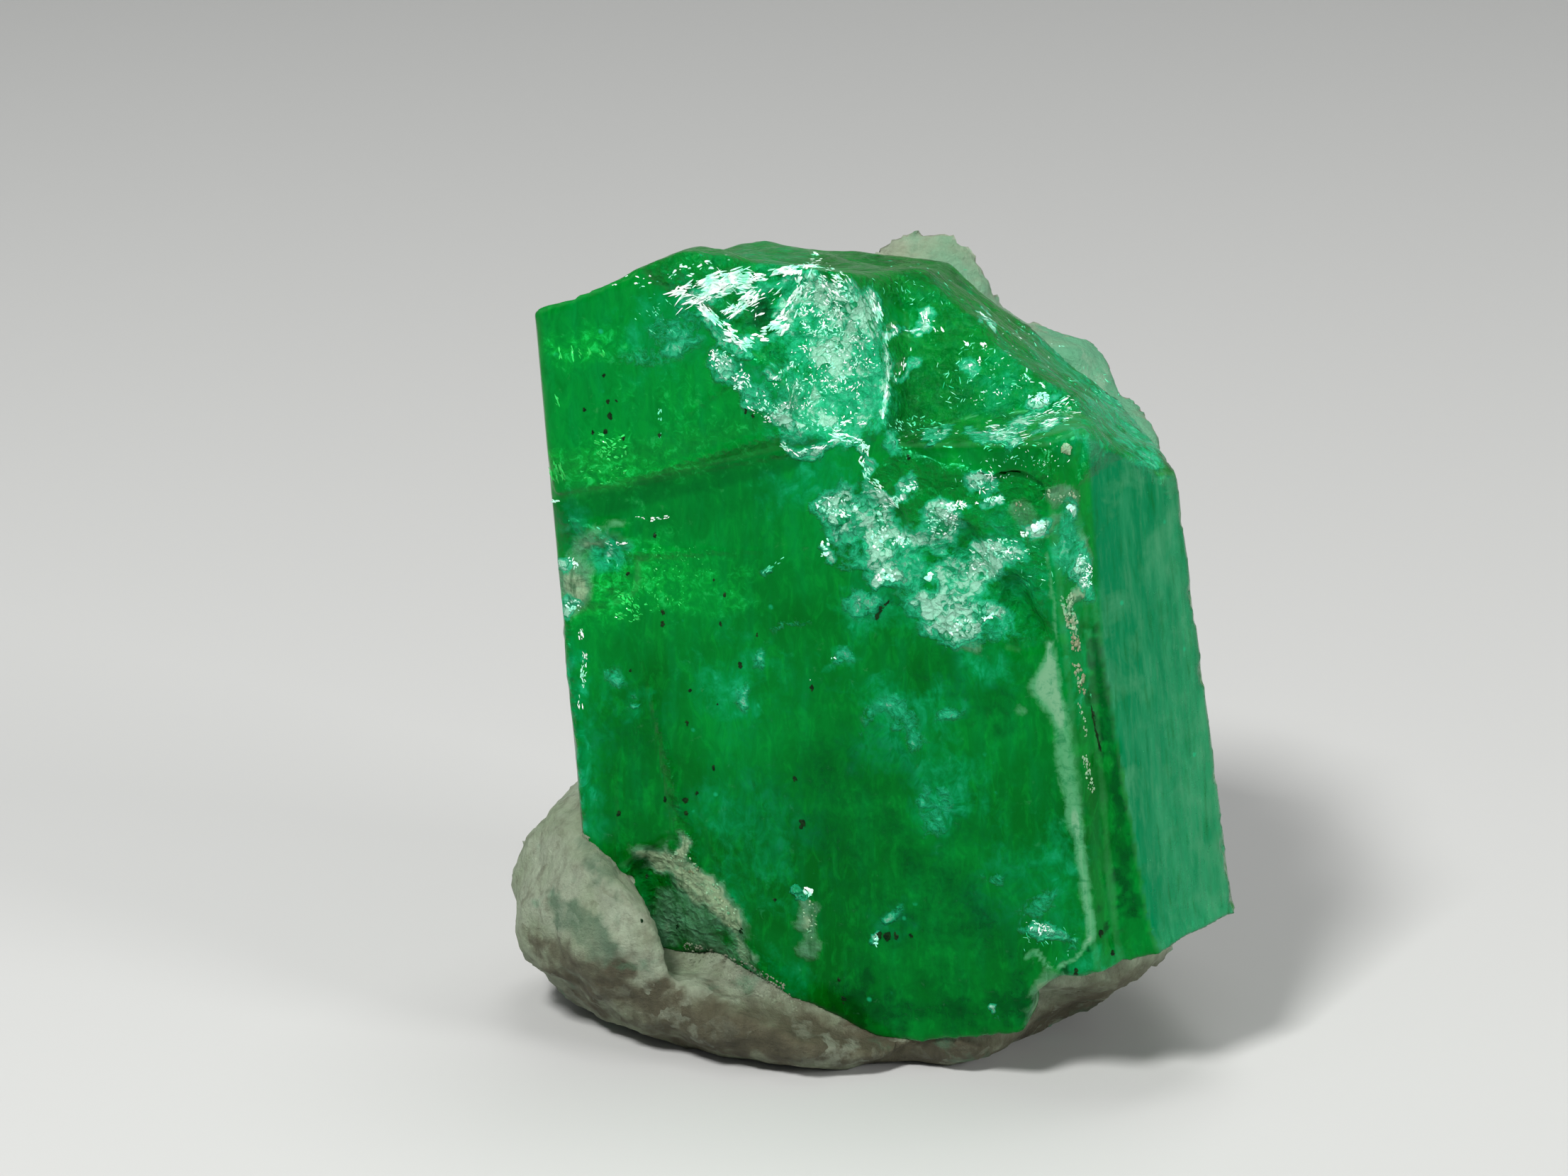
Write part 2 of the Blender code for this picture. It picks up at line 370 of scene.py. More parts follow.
def smooth_step(low: float, high: float, values: np.ndarray) -> np.ndarray:
    """Rises from 0 at low to 1 at high, with no corner at either end."""
    share = np.clip((values - low) / (high - low), 0.0, 1.0)
    return share * share * (3.0 - 2.0 * share)


def fractal(points: np.ndarray, grain: float, octaves: int, shift: float) -> np.ndarray:
    """Cloudy noise at points, from about -1 to 1.

    Args:
        points: One row for each point.
        grain: The size of its largest lumps.
        octaves: How many finer layers it has.
        shift: What sets one noise apart from another.

    Returns:
        One number for each point.
    """
    offset = Vector((shift, shift * 1.7, shift * 2.3))
    return np.array(
        [noise.fractal(Vector(point) / grain + offset, 0.9, 2.1, octaves) for point in points]
    )


def turned_away(piece: bpy.types.Object) -> np.ndarray:
    """How much each corner is turned from the photograph's viewer.

    Args:
        piece: A mesh object, in millimetres.

    Returns:
        A number from -1 to 1 for each corner.
    """
    toward = np.array(PICTURE.eye()) - corners(piece)
    toward /= np.linalg.norm(toward, axis=1)[:, None]
    return -np.einsum("ij,ij->i", toward, normals(piece))


def far_side(piece: bpy.types.Object) -> np.ndarray:
    """How much each corner lies on the side that the photograph doesn't see, from 0 to 1."""
    return smooth_step(0.0, 0.25, turned_away(piece))


def marked(piece: bpy.types.Object, marks: Marks, stray: float = 0.16) -> np.ndarray:
    """How much each corner lies in any of some marks, on the side that the photograph sees.

    Args:
        piece: A mesh object, in millimetres.
        marks: The patches and strokes.
        stray: How far their outlines wander, in millimetres.

    Returns:
        A number from 0 to 1 for each corner.
    """
    points = corners(piece)
    facing = turned_away(piece) < 0.0
    faced = points[facing]
    wander = np.stack((fractal(faced, 0.4, 4, 3.0), fractal(faced, 0.4, 4, 7.0)), axis=1)
    seen = PICTURE.pixels(faced) + wander * stray * PICTURE.pixels_per_mm
    missed = np.ones(len(faced))
    for mark in marks:
        inside = 1.0 - smooth_step(1.0 - mark.softness, 1.0 + mark.softness, mark.reach(seen))
        missed *= 1.0 - inside * mark.strength
    covered = np.zeros(len(points))
    covered[facing] = 1.0 - missed
    return covered


def paint(piece: bpy.types.Object, layer: Layer, values: np.ndarray) -> None:
    """Writes a mask on a mesh.

    Args:
        piece: A mesh object.
        layer: The mask.
        values: One number for each corner.
    """
    made = piece.data.attributes.get(layer.value)
    if made is None:
        made = piece.data.attributes.new(layer.value, "FLOAT", "POINT")
    made.data.foreach_set("value", values.astype(np.float32))


def finer_copy(node: bpy.types.Object, name: str) -> bpy.types.Object:
    """A merged copy of a solid of the frame, in millimetres.

    Args:
        node: The solid, in metres.
        name: The copy's name.

    Returns:
        The copy.
    """
    piece = bpy.data.objects.new(name, node.data.copy())
    piece.data.name = name
    bpy.context.scene.collection.objects.link(piece)
    piece.data.transform(Matrix.Scale(1.0 / MM, 4))
    piece.data.materials.clear()
    in_edit_mode(piece)
    bpy.ops.mesh.remove_doubles(threshold=MERGE)
    out_of_edit_mode()
    return piece


def rebuild(piece: bpy.types.Object, step: float) -> None:
    """Makes a mesh's surface anew from small even faces.

    Args:
        piece: A closed mesh object.
        step: How long the sides of the faces are.
    """
    even = piece.modifiers.new("even", "REMESH")
    even.mode = "VOXEL"
    even.voxel_size = step
    apply_all(piece)


def finish_piece(piece: bpy.types.Object, angle: float) -> None:
    """Brings a piece to metres, shades it, and hands it to the frame.

    Args:
        piece: A mesh object, in millimetres.
        angle: How far its faces may turn, in degrees, before the edge between them looks sharp.
    """
    piece.data.transform(Matrix.Scale(MM, 4))
    choose(piece)
    bpy.ops.object.shade_smooth_by_angle(angle=math.radians(angle))
    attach(piece, ROOT)
    LOG.info("%s: %d faces", piece.name, len(piece.data.polygons))


class Graph:
    """A short way to write the nodes of a material or a node group."""

    def __init__(self, tree: bpy.types.NodeTree) -> None:
        """Starts with a tree that may hold nodes already."""
        self.tree = tree

    def node(self, kind: str, inputs: dict | None = None, **settings) -> bpy.types.Node:
        """Adds a node.

        Args:
            kind: Its type, such as ShaderNodeMath.
            inputs: What goes in each of its sockets, a value or another node's socket.
            **settings: Its own settings.

        Returns:
            The node.
        """
        made = self.tree.nodes.new(kind)
        for name, value in settings.items():
            setattr(made, name, value)
        for name, value in (inputs or {}).items():
            self.put(value, made.inputs[name])
        return made

    def put(self, value: Input, socket: Socket) -> None:
        """Sets a socket to a value, or links another socket to it.

        Args:
            value: A number, a colour, a vector, or a node's output.
            socket: What takes it.
        """
        if isinstance(value, Socket):
            self.tree.links.new(value, socket)
        elif socket.type == "RGBA" and len(value) == 3:
            socket.default_value = (*value, 1.0)
        else:
            socket.default_value = value

    def millimetres(self) -> Socket:
        """The place on the piece, in millimetres.

        Returns:
            The place.
        """
        place = self.node("ShaderNodeTexCoord").outputs["Object"]
        scale = self.node("ShaderNodeVectorMath", operation="SCALE")
        self.put(place, scale.inputs[0])
        scale.inputs["Scale"].default_value = 1.0 / MM
        return scale.outputs[0]

    def turned(self, place: Socket, turn: Triple, scale: Triple = (1.0, 1.0, 1.0)) -> Socket:
        """A place turned by angles in degrees and then stretched.

        Args:
            place: The place, in millimetres.
            turn: The angles.
            scale: How many times each length counts.

        Returns:
            The new place.
        """
        angles = tuple(math.radians(value) for value in turn)
        inputs = {"Vector": place, "Rotation": angles, "Scale": scale}
        return self.node("ShaderNodeMapping", inputs).outputs[0]

    def noise(
        self, place: Socket, scale: float, detail: float, rough: float = 0.55, twist: float = 0.0
    ) -> Socket:
        """Cloudy noise from 0 to 1.

        Args:
            place: The place, in millimetres.
            scale: How many lumps lie to the millimetre.
            detail: How many finer layers it has.
            rough: How strong these are.
            twist: How far it is stirred.

        Returns:
            The noise.
        """
        inputs = {
            "Vector": place, "Scale": scale, "Detail": detail, "Roughness": rough, "Distortion": twist
        }
        return self.node("ShaderNodeTexNoise", inputs).outputs[0]

    def place_group(self, group: bpy.types.NodeTree, inputs: dict) -> bpy.types.Node:
        """Adds a node group.

        Args:
            group: The group.
            inputs: What goes in each of its sockets.

        Returns:
            Its node.
        """
        made = self.node("ShaderNodeGroup", node_tree=group)
        for name, value in inputs.items():
            self.put(value, made.inputs[name])
        return made

    def layer(self, layer: Layer) -> Socket:
        """A painted mask."""
        return self.node("ShaderNodeAttribute", attribute_name=layer.value).outputs["Fac"]

    def span(
        self, value: Input, low: float, high: float, bottom: float = 0.0, top: float = 1.0
    ) -> Socket:
        """A value's place between two limits, brought to between two others, and kept there.

        Args:
            value: The value.
            low: The first limit.
            high: The second limit.
            bottom: What the first limit becomes.
            top: What the second limit becomes.

        Returns:
            The new value.
        """
        inputs = {
            "Value": value, "From Min": low, "From Max": high, "To Min": bottom, "To Max": top
        }
        return self.node("ShaderNodeMapRange", inputs, clamp=True).outputs[0]

    def sum(self, first: Input, second: Input, operation: str = "ADD") -> Socket:
        """Arithmetic on two values.

        Args:
            first: The one value.
            second: The other value.
            operation: What is done with them.

        Returns:
            What comes out.
        """
        made = self.node("ShaderNodeMath", operation=operation)
        self.put(first, made.inputs[0])
        self.put(second, made.inputs[1])
        return made.outputs[0]

    def times(self, first: Input, second: Input) -> Socket:
        """The product of two values."""
        return self.sum(first, second, "MULTIPLY")

    def mix(self, share: Input, first: Input, second: Input) -> Socket:
        """A mix of two colours.

        Args:
            share: How much there is of the second colour.
            first: The first colour.
            second: The second colour.

        Returns:
            The colour.
        """
        made = self.node("ShaderNodeMix", data_type="RGBA")
        self.put(share, made.inputs[0])
        self.put(first, made.inputs[6])
        self.put(second, made.inputs[7])
        return made.outputs[2]

    def bump(
        self, height: Input, strength: float, distance: float, normal: Socket | None = None
    ) -> Socket:
        """A normal bent by a height.

        Args:
            height: The height, from 0 to 1.
            strength: How much of the bend is kept.
            distance: What the height's full range stands for, in metres.
            normal: A normal that is bent already.

        Returns:
            The normal.
        """
        inputs = {"Height": height, "Strength": strength, "Distance": distance}
        made = self.node("ShaderNodeBump", inputs)
        if normal is not None:
            self.put(normal, made.inputs["Normal"])
        return made.outputs[0]


def new_material(name: str) -> tuple[bpy.types.Material, Graph, bpy.types.Node]:
    """A material with its graph and its Principled shader.

    Args:
        name: The material's name.

    Returns:
        The material, its graph, and its shader.
    """
    made = bpy.data.materials.new(name)
    made.use_nodes = True
    return made, Graph(made.node_tree), made.node_tree.nodes["Principled BSDF"]


def fleck_group() -> bpy.types.NodeTree:
    """A node group of small bright flecks: painted glints of the tiny cracks and bubbles in a stone.

    Returns:
        A group that turns a place in millimetres, a density and a share into a mask.
    """
    made = bpy.data.node_groups.new("flecks", "ShaderNodeTree")
    made.interface.new_socket("Place", in_out="INPUT", socket_type="NodeSocketVector")
    made.interface.new_socket("Density", in_out="INPUT", socket_type="NodeSocketFloat")
    made.interface.new_socket("Share", in_out="INPUT", socket_type="NodeSocketFloat")
    made.interface.new_socket("Mask", in_out="OUTPUT", socket_type="NodeSocketFloat")
    graph = Graph(made)
    given = graph.node("NodeGroupInput")
    cells = graph.node("ShaderNodeTexVoronoi")
    graph.put(given.outputs["Place"], cells.inputs["Vector"])
    graph.put(given.outputs["Density"], cells.inputs["Scale"])
    dot = graph.span(cells.outputs["Distance"], 0.12, 0.3, 1.0, 0.0)
    lot = graph.node("ShaderNodeSeparateColor")
    graph.put(cells.outputs["Color"], lot.inputs[0])
    kept = graph.sum(lot.outputs[0], given.outputs["Share"], "LESS_THAN")
    result = graph.node("NodeGroupOutput")
    graph.put(graph.times(dot, kept), result.inputs["Mask"])
    return made


def shard_group() -> bpy.types.NodeTree:
    """A node group of the shards of a crushed or cracked mineral.

    Returns:
        A group that turns a place in millimetres and a density into each shard's lot, a mask of
        the seams between the shards, and how far a place is from the middle of its shard.
    """
    found = bpy.data.node_groups.get("shards")
    if found is not None:
        return found
    made = bpy.data.node_groups.new("shards", "ShaderNodeTree")
    made.interface.new_socket("Place", in_out="INPUT", socket_type="NodeSocketVector")
    made.interface.new_socket("Density", in_out="INPUT", socket_type="NodeSocketFloat")
    for name in ("Lot", "Seam", "Slope"):
        made.interface.new_socket(name, in_out="OUTPUT", socket_type="NodeSocketFloat")
    graph = Graph(made)
    given = graph.node("NodeGroupInput")
    shaken = graph.node("ShaderNodeTexNoise", {"Vector": given.outputs["Place"], "Scale": 3.0})
    bent = graph.node("ShaderNodeVectorMath", operation="MULTIPLY_ADD")
    graph.put(shaken.outputs["Color"], bent.inputs[0])
    graph.put((0.35, 0.35, 0.35), bent.inputs[1])
    graph.put(given.outputs["Place"], bent.inputs[2])
    inputs = {"Vector": bent.outputs[0], "Scale": given.outputs["Density"]}
    cells = graph.node("ShaderNodeTexVoronoi", inputs)
    edges = graph.node("ShaderNodeTexVoronoi", inputs, feature="DISTANCE_TO_EDGE")
    lot = graph.node("ShaderNodeSeparateColor")
    graph.put(cells.outputs["Color"], lot.inputs[0])
    result = graph.node("NodeGroupOutput")
    graph.put(lot.outputs[0], result.inputs["Lot"])
    graph.put(graph.span(edges.outputs["Distance"], 0.0, 0.1, 1.0, 0.0), result.inputs["Seam"])
    graph.put(cells.outputs["Distance"], result.inputs["Slope"])
    return made


@dataclass(frozen=True)
class EmeraldFinish:
    """Clear to cloudy green beryl. Colours are linear."""

    deep: Triple = (0.0, 0.125, 0.002)
    bright: Triple = (0.0, 0.28, 0.026)
    # glow brightens random mottles and, with lit, paints the glints and lit patches.
    glow: Triple = (0.003, 0.5, 0.04)
    lit: Triple = (0.01, 0.8, 0.12)
    teal: Triple = (0.0, 0.37, 0.1)
    side: Triple = (0.0, 0.25, 0.09)
    streak: Triple = (0.035, 0.36, 0.155)
    pale: Triple = (0.2, 0.55, 0.31)
    rim: Triple = (0.13, 0.5, 0.22)
    chalk: Triple = (0.3, 0.62, 0.36)
    icy: Triple = (0.015, 0.58, 0.25)
    mint: Triple = (0.08, 0.7, 0.38)
    frost_and_glints: Triple = (0.47, 1.0, 0.72)
    seam: Triple = (0.0, 0.2, 0.07)
    crust: Triple = (0.15, 0.36, 0.2)
    beige: Triple = (0.5, 0.65, 0.4)
    fibre: Triple = (0.02, 0.11, 0.035)
    # Painted shade, used also for the darkest real stains.
    shade: Triple = (0.0, 0.045, 0.002)
    tint: Triple = (0.05, 1.0, 0.4)
    transmission: float = 0.4
    ior: float = 1.577
    specular: float = 0.14
    absorb: Triple = (0.02, 0.944, 0.7)
    density: float = 2500.0
    lean: Triple = (0.0, -6.0, 0.0)
    gloss: Pair = (0.08, 0.2)
    striae_dulling: float = 0.16
    crust_dulling: float = 0.4
    frost_dulling: float = 0.14
    shard_density: float = 6.5
    fleck_density: float = 5.5
    fleck_share: float = 0.03
    etch_depth: float = 0.00003
    striae_depth: float = 0.00006
    crackle_depth: float = 0.00012

    def build(self) -> bpy.types.Material:
        """Makes the material.

        Returns:
            The material.
        """
        made, graph, shader = new_material("emerald")
        place = graph.millimetres()
        veil = graph.noise(place, 1.2, 6.0, 0.62, 0.4)
        fine = graph.noise(place, 6.0, 5.0, 0.7, 0.6)
        stray = graph.span(veil, 0.2, 0.8, -0.32, 0.32)
        stray = graph.sum(stray, graph.span(fine, 0.2, 0.8, -0.4, 0.4))
        body = self.body(graph, place, veil, fine)
        shards = graph.place_group(shard_group(), {"Place": place, "Density": self.shard_density})
        body, crust = self.crusted(graph, place, stray, fine, body)
        body, frost_and_glints = self.frosted_and_glinting(graph, shards, stray, fine, body)
        graph.put(body, shader.inputs["Base Color"])
        rough = graph.span(graph.noise(place, 5.0, 3.0), 0.3, 0.7, *self.gloss)
        rough = graph.sum(rough, graph.times(graph.layer(Layer.STRIAE), self.striae_dulling))
        rough = graph.sum(rough, graph.times(crust, self.crust_dulling))
        rough = graph.sum(rough, graph.times(frost_and_glints, self.frost_dulling))
        graph.put(rough, shader.inputs["Roughness"])
        graph.put(self.relief(graph, place, shards, frost_and_glints, crust), shader.inputs["Normal"])
        shader.inputs["Transmission Weight"].default_value = self.transmission
        shader.inputs["IOR"].default_value = self.ior
        shader.inputs["Specular IOR Level"].default_value = self.specular
        shader.inputs["Specular Tint"].default_value = (*self.tint, 1.0)
        volume = graph.node("ShaderNodeVolumeAbsorption")
        volume.inputs["Color"].default_value = (*self.absorb, 1.0)
        volume.inputs["Density"].default_value = self.density
        output = made.node_tree.nodes["Material Output"]
        made.node_tree.links.new(volume.outputs[0], output.inputs["Volume"])
        return made

    def body(self, graph: Graph, place: Socket, veil: Socket, fine: Socket) -> Socket:
        """The green itself: deep and bright clouds, teal veils, flecks, and dark and worn places.

        Args:
            graph: The material's graph.
            place: The place on the piece, in millimetres.
            veil: Broad cloudy noise.
            fine: Fine cloudy noise.

        Returns:
            The colour.
        """
        broad = graph.noise(place, 0.33, 3.0, 0.5, 0.4)
        # Painted light: the green grows brighter towards the top, where the light falls.
        height = graph.node("ShaderNodeSeparateXYZ", {"Vector": place}).outputs["Z"]
        broad = graph.sum(broad, graph.span(height, 2.0, 12.0, -0.1, 0.13))
        leaned = graph.turned(place, self.lean, (3.2, 3.2, 0.45))
        streaked = graph.noise(leaned, 1.0, 5.0, 0.6)
        body = graph.mix(graph.span(broad, 0.36, 0.64), self.deep, self.bright)
        body = graph.mix(graph.span(veil, 0.45, 0.7, 0.0, 0.35), body, self.bright)
        body = graph.mix(graph.span(streaked, 0.5, 0.8, 0.0, 0.3), body, self.teal)
        mottle = graph.noise(graph.turned(place, self.lean, (5.0, 5.0, 2.0)), 1.0, 5.0, 0.7, 0.8)
        body = graph.mix(graph.span(mottle, 0.5, 0.72, 0.0, 0.4), body, self.glow)
        body = graph.mix(graph.span(mottle, 0.5, 0.3, 0.0, 0.4), body, self.deep)
        # Painted light: glints and lit patches, bright green where the light mask lies.
        lit = graph.mix(graph.span(fine, 0.4, 0.54), self.bright, self.glow)
        lit = graph.mix(graph.span(fine, 0.54, 0.64), lit, self.lit)
        body = graph.mix(self.soft(graph, Layer.GLOW, veil, fine), body, lit)
        cloud = self.soft(graph, Layer.CLOUD, veil, fine)
        wisps = graph.noise(graph.turned(place, (0.0, 30.0, 0.0), (3.4, 3.4, 2.2)), 1.0, 5.0, 0.62, 0.9)
        cores = graph.times(cloud, graph.span(wisps, 0.49, 0.6))
        cloud = graph.times(cloud, graph.span(wisps, 0.36, 0.52, 0.2, 1.0))
        body = graph.mix(cloud, body, graph.mix(cores, self.teal, self.icy))
        # Real stains with painted shade, darkened towards the shade colour.
        body = graph.mix(self.soft(graph, Layer.STAIN_AND_SHADE, veil, fine), body, self.shade)
        # Painted shadow under the ledge.
        body = graph.mix(graph.times(graph.layer(Layer.SHADE), 0.6), body, self.shade)
        side = self.striated(graph, place, veil, streaked)
        body = graph.mix(graph.span(graph.layer(Layer.STRIAE), 0.0, 0.3, 0.0, 0.92), body, side)
        body = self.pale_edges_and_bands(graph, veil, fine, body)
        # Painted glints: small bright flecks in the clouds.
        inputs = {"Place": place, "Density": self.fleck_density, "Share": self.fleck_share}
        flecks = graph.place_group(fleck_group(), inputs)
        some = graph.times(flecks.outputs[0], graph.span(veil, 0.46, 0.56, 0.0, 0.7))
        return graph.mix(some, body, self.icy)

    def striated(self, graph: Graph, place: Socket, veil: Socket, streaked: Socket) -> Socket:
        """The grey-green of the faces that have fine upright lines.

        Args:
            graph: The material's graph.
            place: The place on the piece, in millimetres.
            veil: Broad cloudy noise.
            streaked: Noise drawn out along the prism.

        Returns:
            The colour.
        """
        grey = graph.sum(graph.span(streaked, 0.3, 0.7, -0.5, 0.5), graph.layer(Layer.STRIAE))
        side = graph.mix(graph.span(grey, 0.3, 1.1, 0.0, 0.95), self.side, self.streak)
        side = graph.mix(graph.span(veil, 0.5, 0.66, 0.0, 0.2), side, self.pale)
        fibre = graph.noise(graph.turned(place, self.lean, (8.0, 8.0, 0.6)), 1.0, 4.0, 0.65)
        side = graph.mix(graph.span(fibre, 0.52, 0.75, 0.0, 0.22), side, self.pale)
        return graph.mix(graph.span(fibre, 0.46, 0.28, 0.0, 0.5), side, self.deep)

    def pale_edges_and_bands(self, graph: Graph, veil: Socket, fine: Socket, body: Socket) -> Socket:
        """Lays paler lines along the edges between the large faces, and the pale worn bands, on a
        colour.

        Args:
            graph: The material's graph.
            veil: Broad cloudy noise.
            fine: Fine cloudy noise.
            body: The colour.

        Returns:
            The new colour.
        """
        # Paler along the edges between the large faces.
        worn = graph.sum(graph.layer(Layer.EDGE), graph.span(veil, 0.35, 0.7, -0.5, 0.2))
        body = graph.mix(graph.span(worn, 0.2, 0.9, 0.0, 0.12), body, self.pale)
        worn = graph.sum(graph.layer(Layer.WORN), graph.span(fine, 0.25, 0.75, -0.35, 0.25))
        rim = graph.mix(graph.span(graph.layer(Layer.WORN), 0.8, 0.98), self.rim, self.chalk)
        rim = graph.mix(graph.span(fine, 0.5, 0.35, 0.0, 0.6), rim, self.streak)
        return graph.mix(graph.span(worn, 0.1, 0.8, 0.0, 0.9), body, rim)

    def soft(self, graph: Graph, layer: Layer, veil: Socket, fine: Socket) -> Socket:
        """A painted mask, cloudy through and through.

        Args:
            graph: The material's graph.
            layer: The mask.
            veil: Broad cloudy noise.
            fine: Fine cloudy noise.

        Returns:
            The cloudy mask.
        """
        cloud = graph.sum(graph.layer(layer), graph.span(veil, 0.25, 0.75, -0.5, 0.5))
        cloud = graph.sum(cloud, graph.span(fine, 0.25, 0.75, -0.3, 0.3))
        inside = graph.span(graph.layer(layer), 0.0, 0.2)
        return graph.times(graph.span(cloud, 0.15, 1.1, 0.0, 0.95), inside)

    def crusted(
        self, graph: Graph, place: Socket, stray: Socket, fine: Socket, body: Socket
    ) -> tuple[Socket, Socket]:
        """Lays the grey-green and beige crusts on a colour.

        Args:
            graph: The material's graph.
            place: The place on the piece, in millimetres.
            stray: What makes the outlines wander.
            fine: Fine cloudy noise.
            body: The colour.

        Returns:
            The new colour, and the crusts' mask.
        """
        painted = graph.layer(Layer.CRUST)
        crust = graph.span(graph.sum(painted, graph.times(stray, 0.45)), 0.16, 0.8)
        fibres = graph.noise(graph.turned(place, (0.0, -25.0, 0.0), (7.0, 7.0, 1.2)), 1.0, 5.0, 0.65)
        colour = graph.mix(graph.span(painted, 0.7, 0.95), self.crust, self.beige)
        colour = graph.mix(graph.span(fine, 0.5, 0.66, 0.0, 0.5), colour, self.pale)
        colour = graph.mix(graph.span(fibres, 0.5, 0.66, 0.0, 0.75), colour, self.fibre)
        return graph.mix(graph.times(crust, 0.88), body, colour), crust

    def frosted_and_glinting(
        self, graph: Graph, shards: bpy.types.Node, stray: Socket, fine: Socket, body: Socket
    ) -> tuple[Socket, Socket]:
        """Lays the icy and white fracture on a colour, with painted reflections and glints where its
        mask holds them.

        Args:
            graph: The material's graph.
            shards: The node of the shards.
            stray: What makes the outlines wander.
            fine: Fine cloudy noise.
            body: The colour.

        Returns:
            The new colour, and the fracture's mask.
        """
        painted = graph.layer(Layer.FROST_AND_GLINTS)
        inside = graph.span(painted, 0.0, 0.2)
        depth = graph.sum(painted, graph.times(stray, 1.15))
        veiled = graph.times(graph.span(depth, 0.08, 0.42, 0.0, 0.92), inside)
        white = graph.times(graph.span(depth, 0.4, 0.72), inside)
        lot = graph.sum(shards.outputs["Lot"], graph.span(fine, 0.3, 0.7, -0.35, 0.35))
        snow = graph.sum(depth, graph.span(lot, 0.0, 1.0, -0.3, 0.3))
        snow = graph.mix(graph.span(snow, 0.68, 0.98), self.mint, self.frost_and_glints)
        snow = graph.mix(graph.span(lot, 0.16, 0.0, 0.0, 0.8), snow, self.teal)
        colour = graph.mix(white, graph.mix(veiled, body, self.icy), snow)
        frost_and_glints = graph.sum(graph.times(veiled, 0.6), white, "MAXIMUM")
        seams = graph.times(shards.outputs["Seam"], white)
        seams = graph.times(seams, graph.span(lot, 0.2, 0.8, 0.9, 0.25))
        return graph.mix(seams, colour, self.seam), frost_and_glints

    def relief(
        self, graph: Graph, place: Socket, shards: bpy.types.Node, frost_and_glints: Socket, crust: Socket
    ) -> Socket:
        """Fine etching on the faces, streaks on the side, and crackle where it broke.

        Args:
            graph: The material's graph.
            place: The place on the piece, in millimetres.
            shards: The node of the shards.
            frost_and_glints: The fracture's mask.
            crust: The crusts' mask.

        Returns:
            The normal.
        """
        etch = graph.bump(graph.noise(place, 9.0, 3.0), 0.1, self.etch_depth)
        lines = graph.noise(graph.turned(place, self.lean, (9.0, 9.0, 0.35)), 1.0, 3.0)
        lines = graph.times(lines, graph.layer(Layer.STRIAE))
        striae = graph.bump(lines, 0.4, self.striae_depth, etch)
        crackle = graph.noise(place, 5.0, 5.0, 0.7, 0.6)
        crackle = graph.sum(crackle, graph.times(shards.outputs["Slope"], 0.6))
        broken = graph.sum(graph.layer(Layer.BROKEN), frost_and_glints, "MAXIMUM")
        broken = graph.sum(broken, graph.times(crust, 0.35), "MAXIMUM")
        return graph.bump(graph.times(crackle, broken), 0.8, self.crackle_depth, striae)


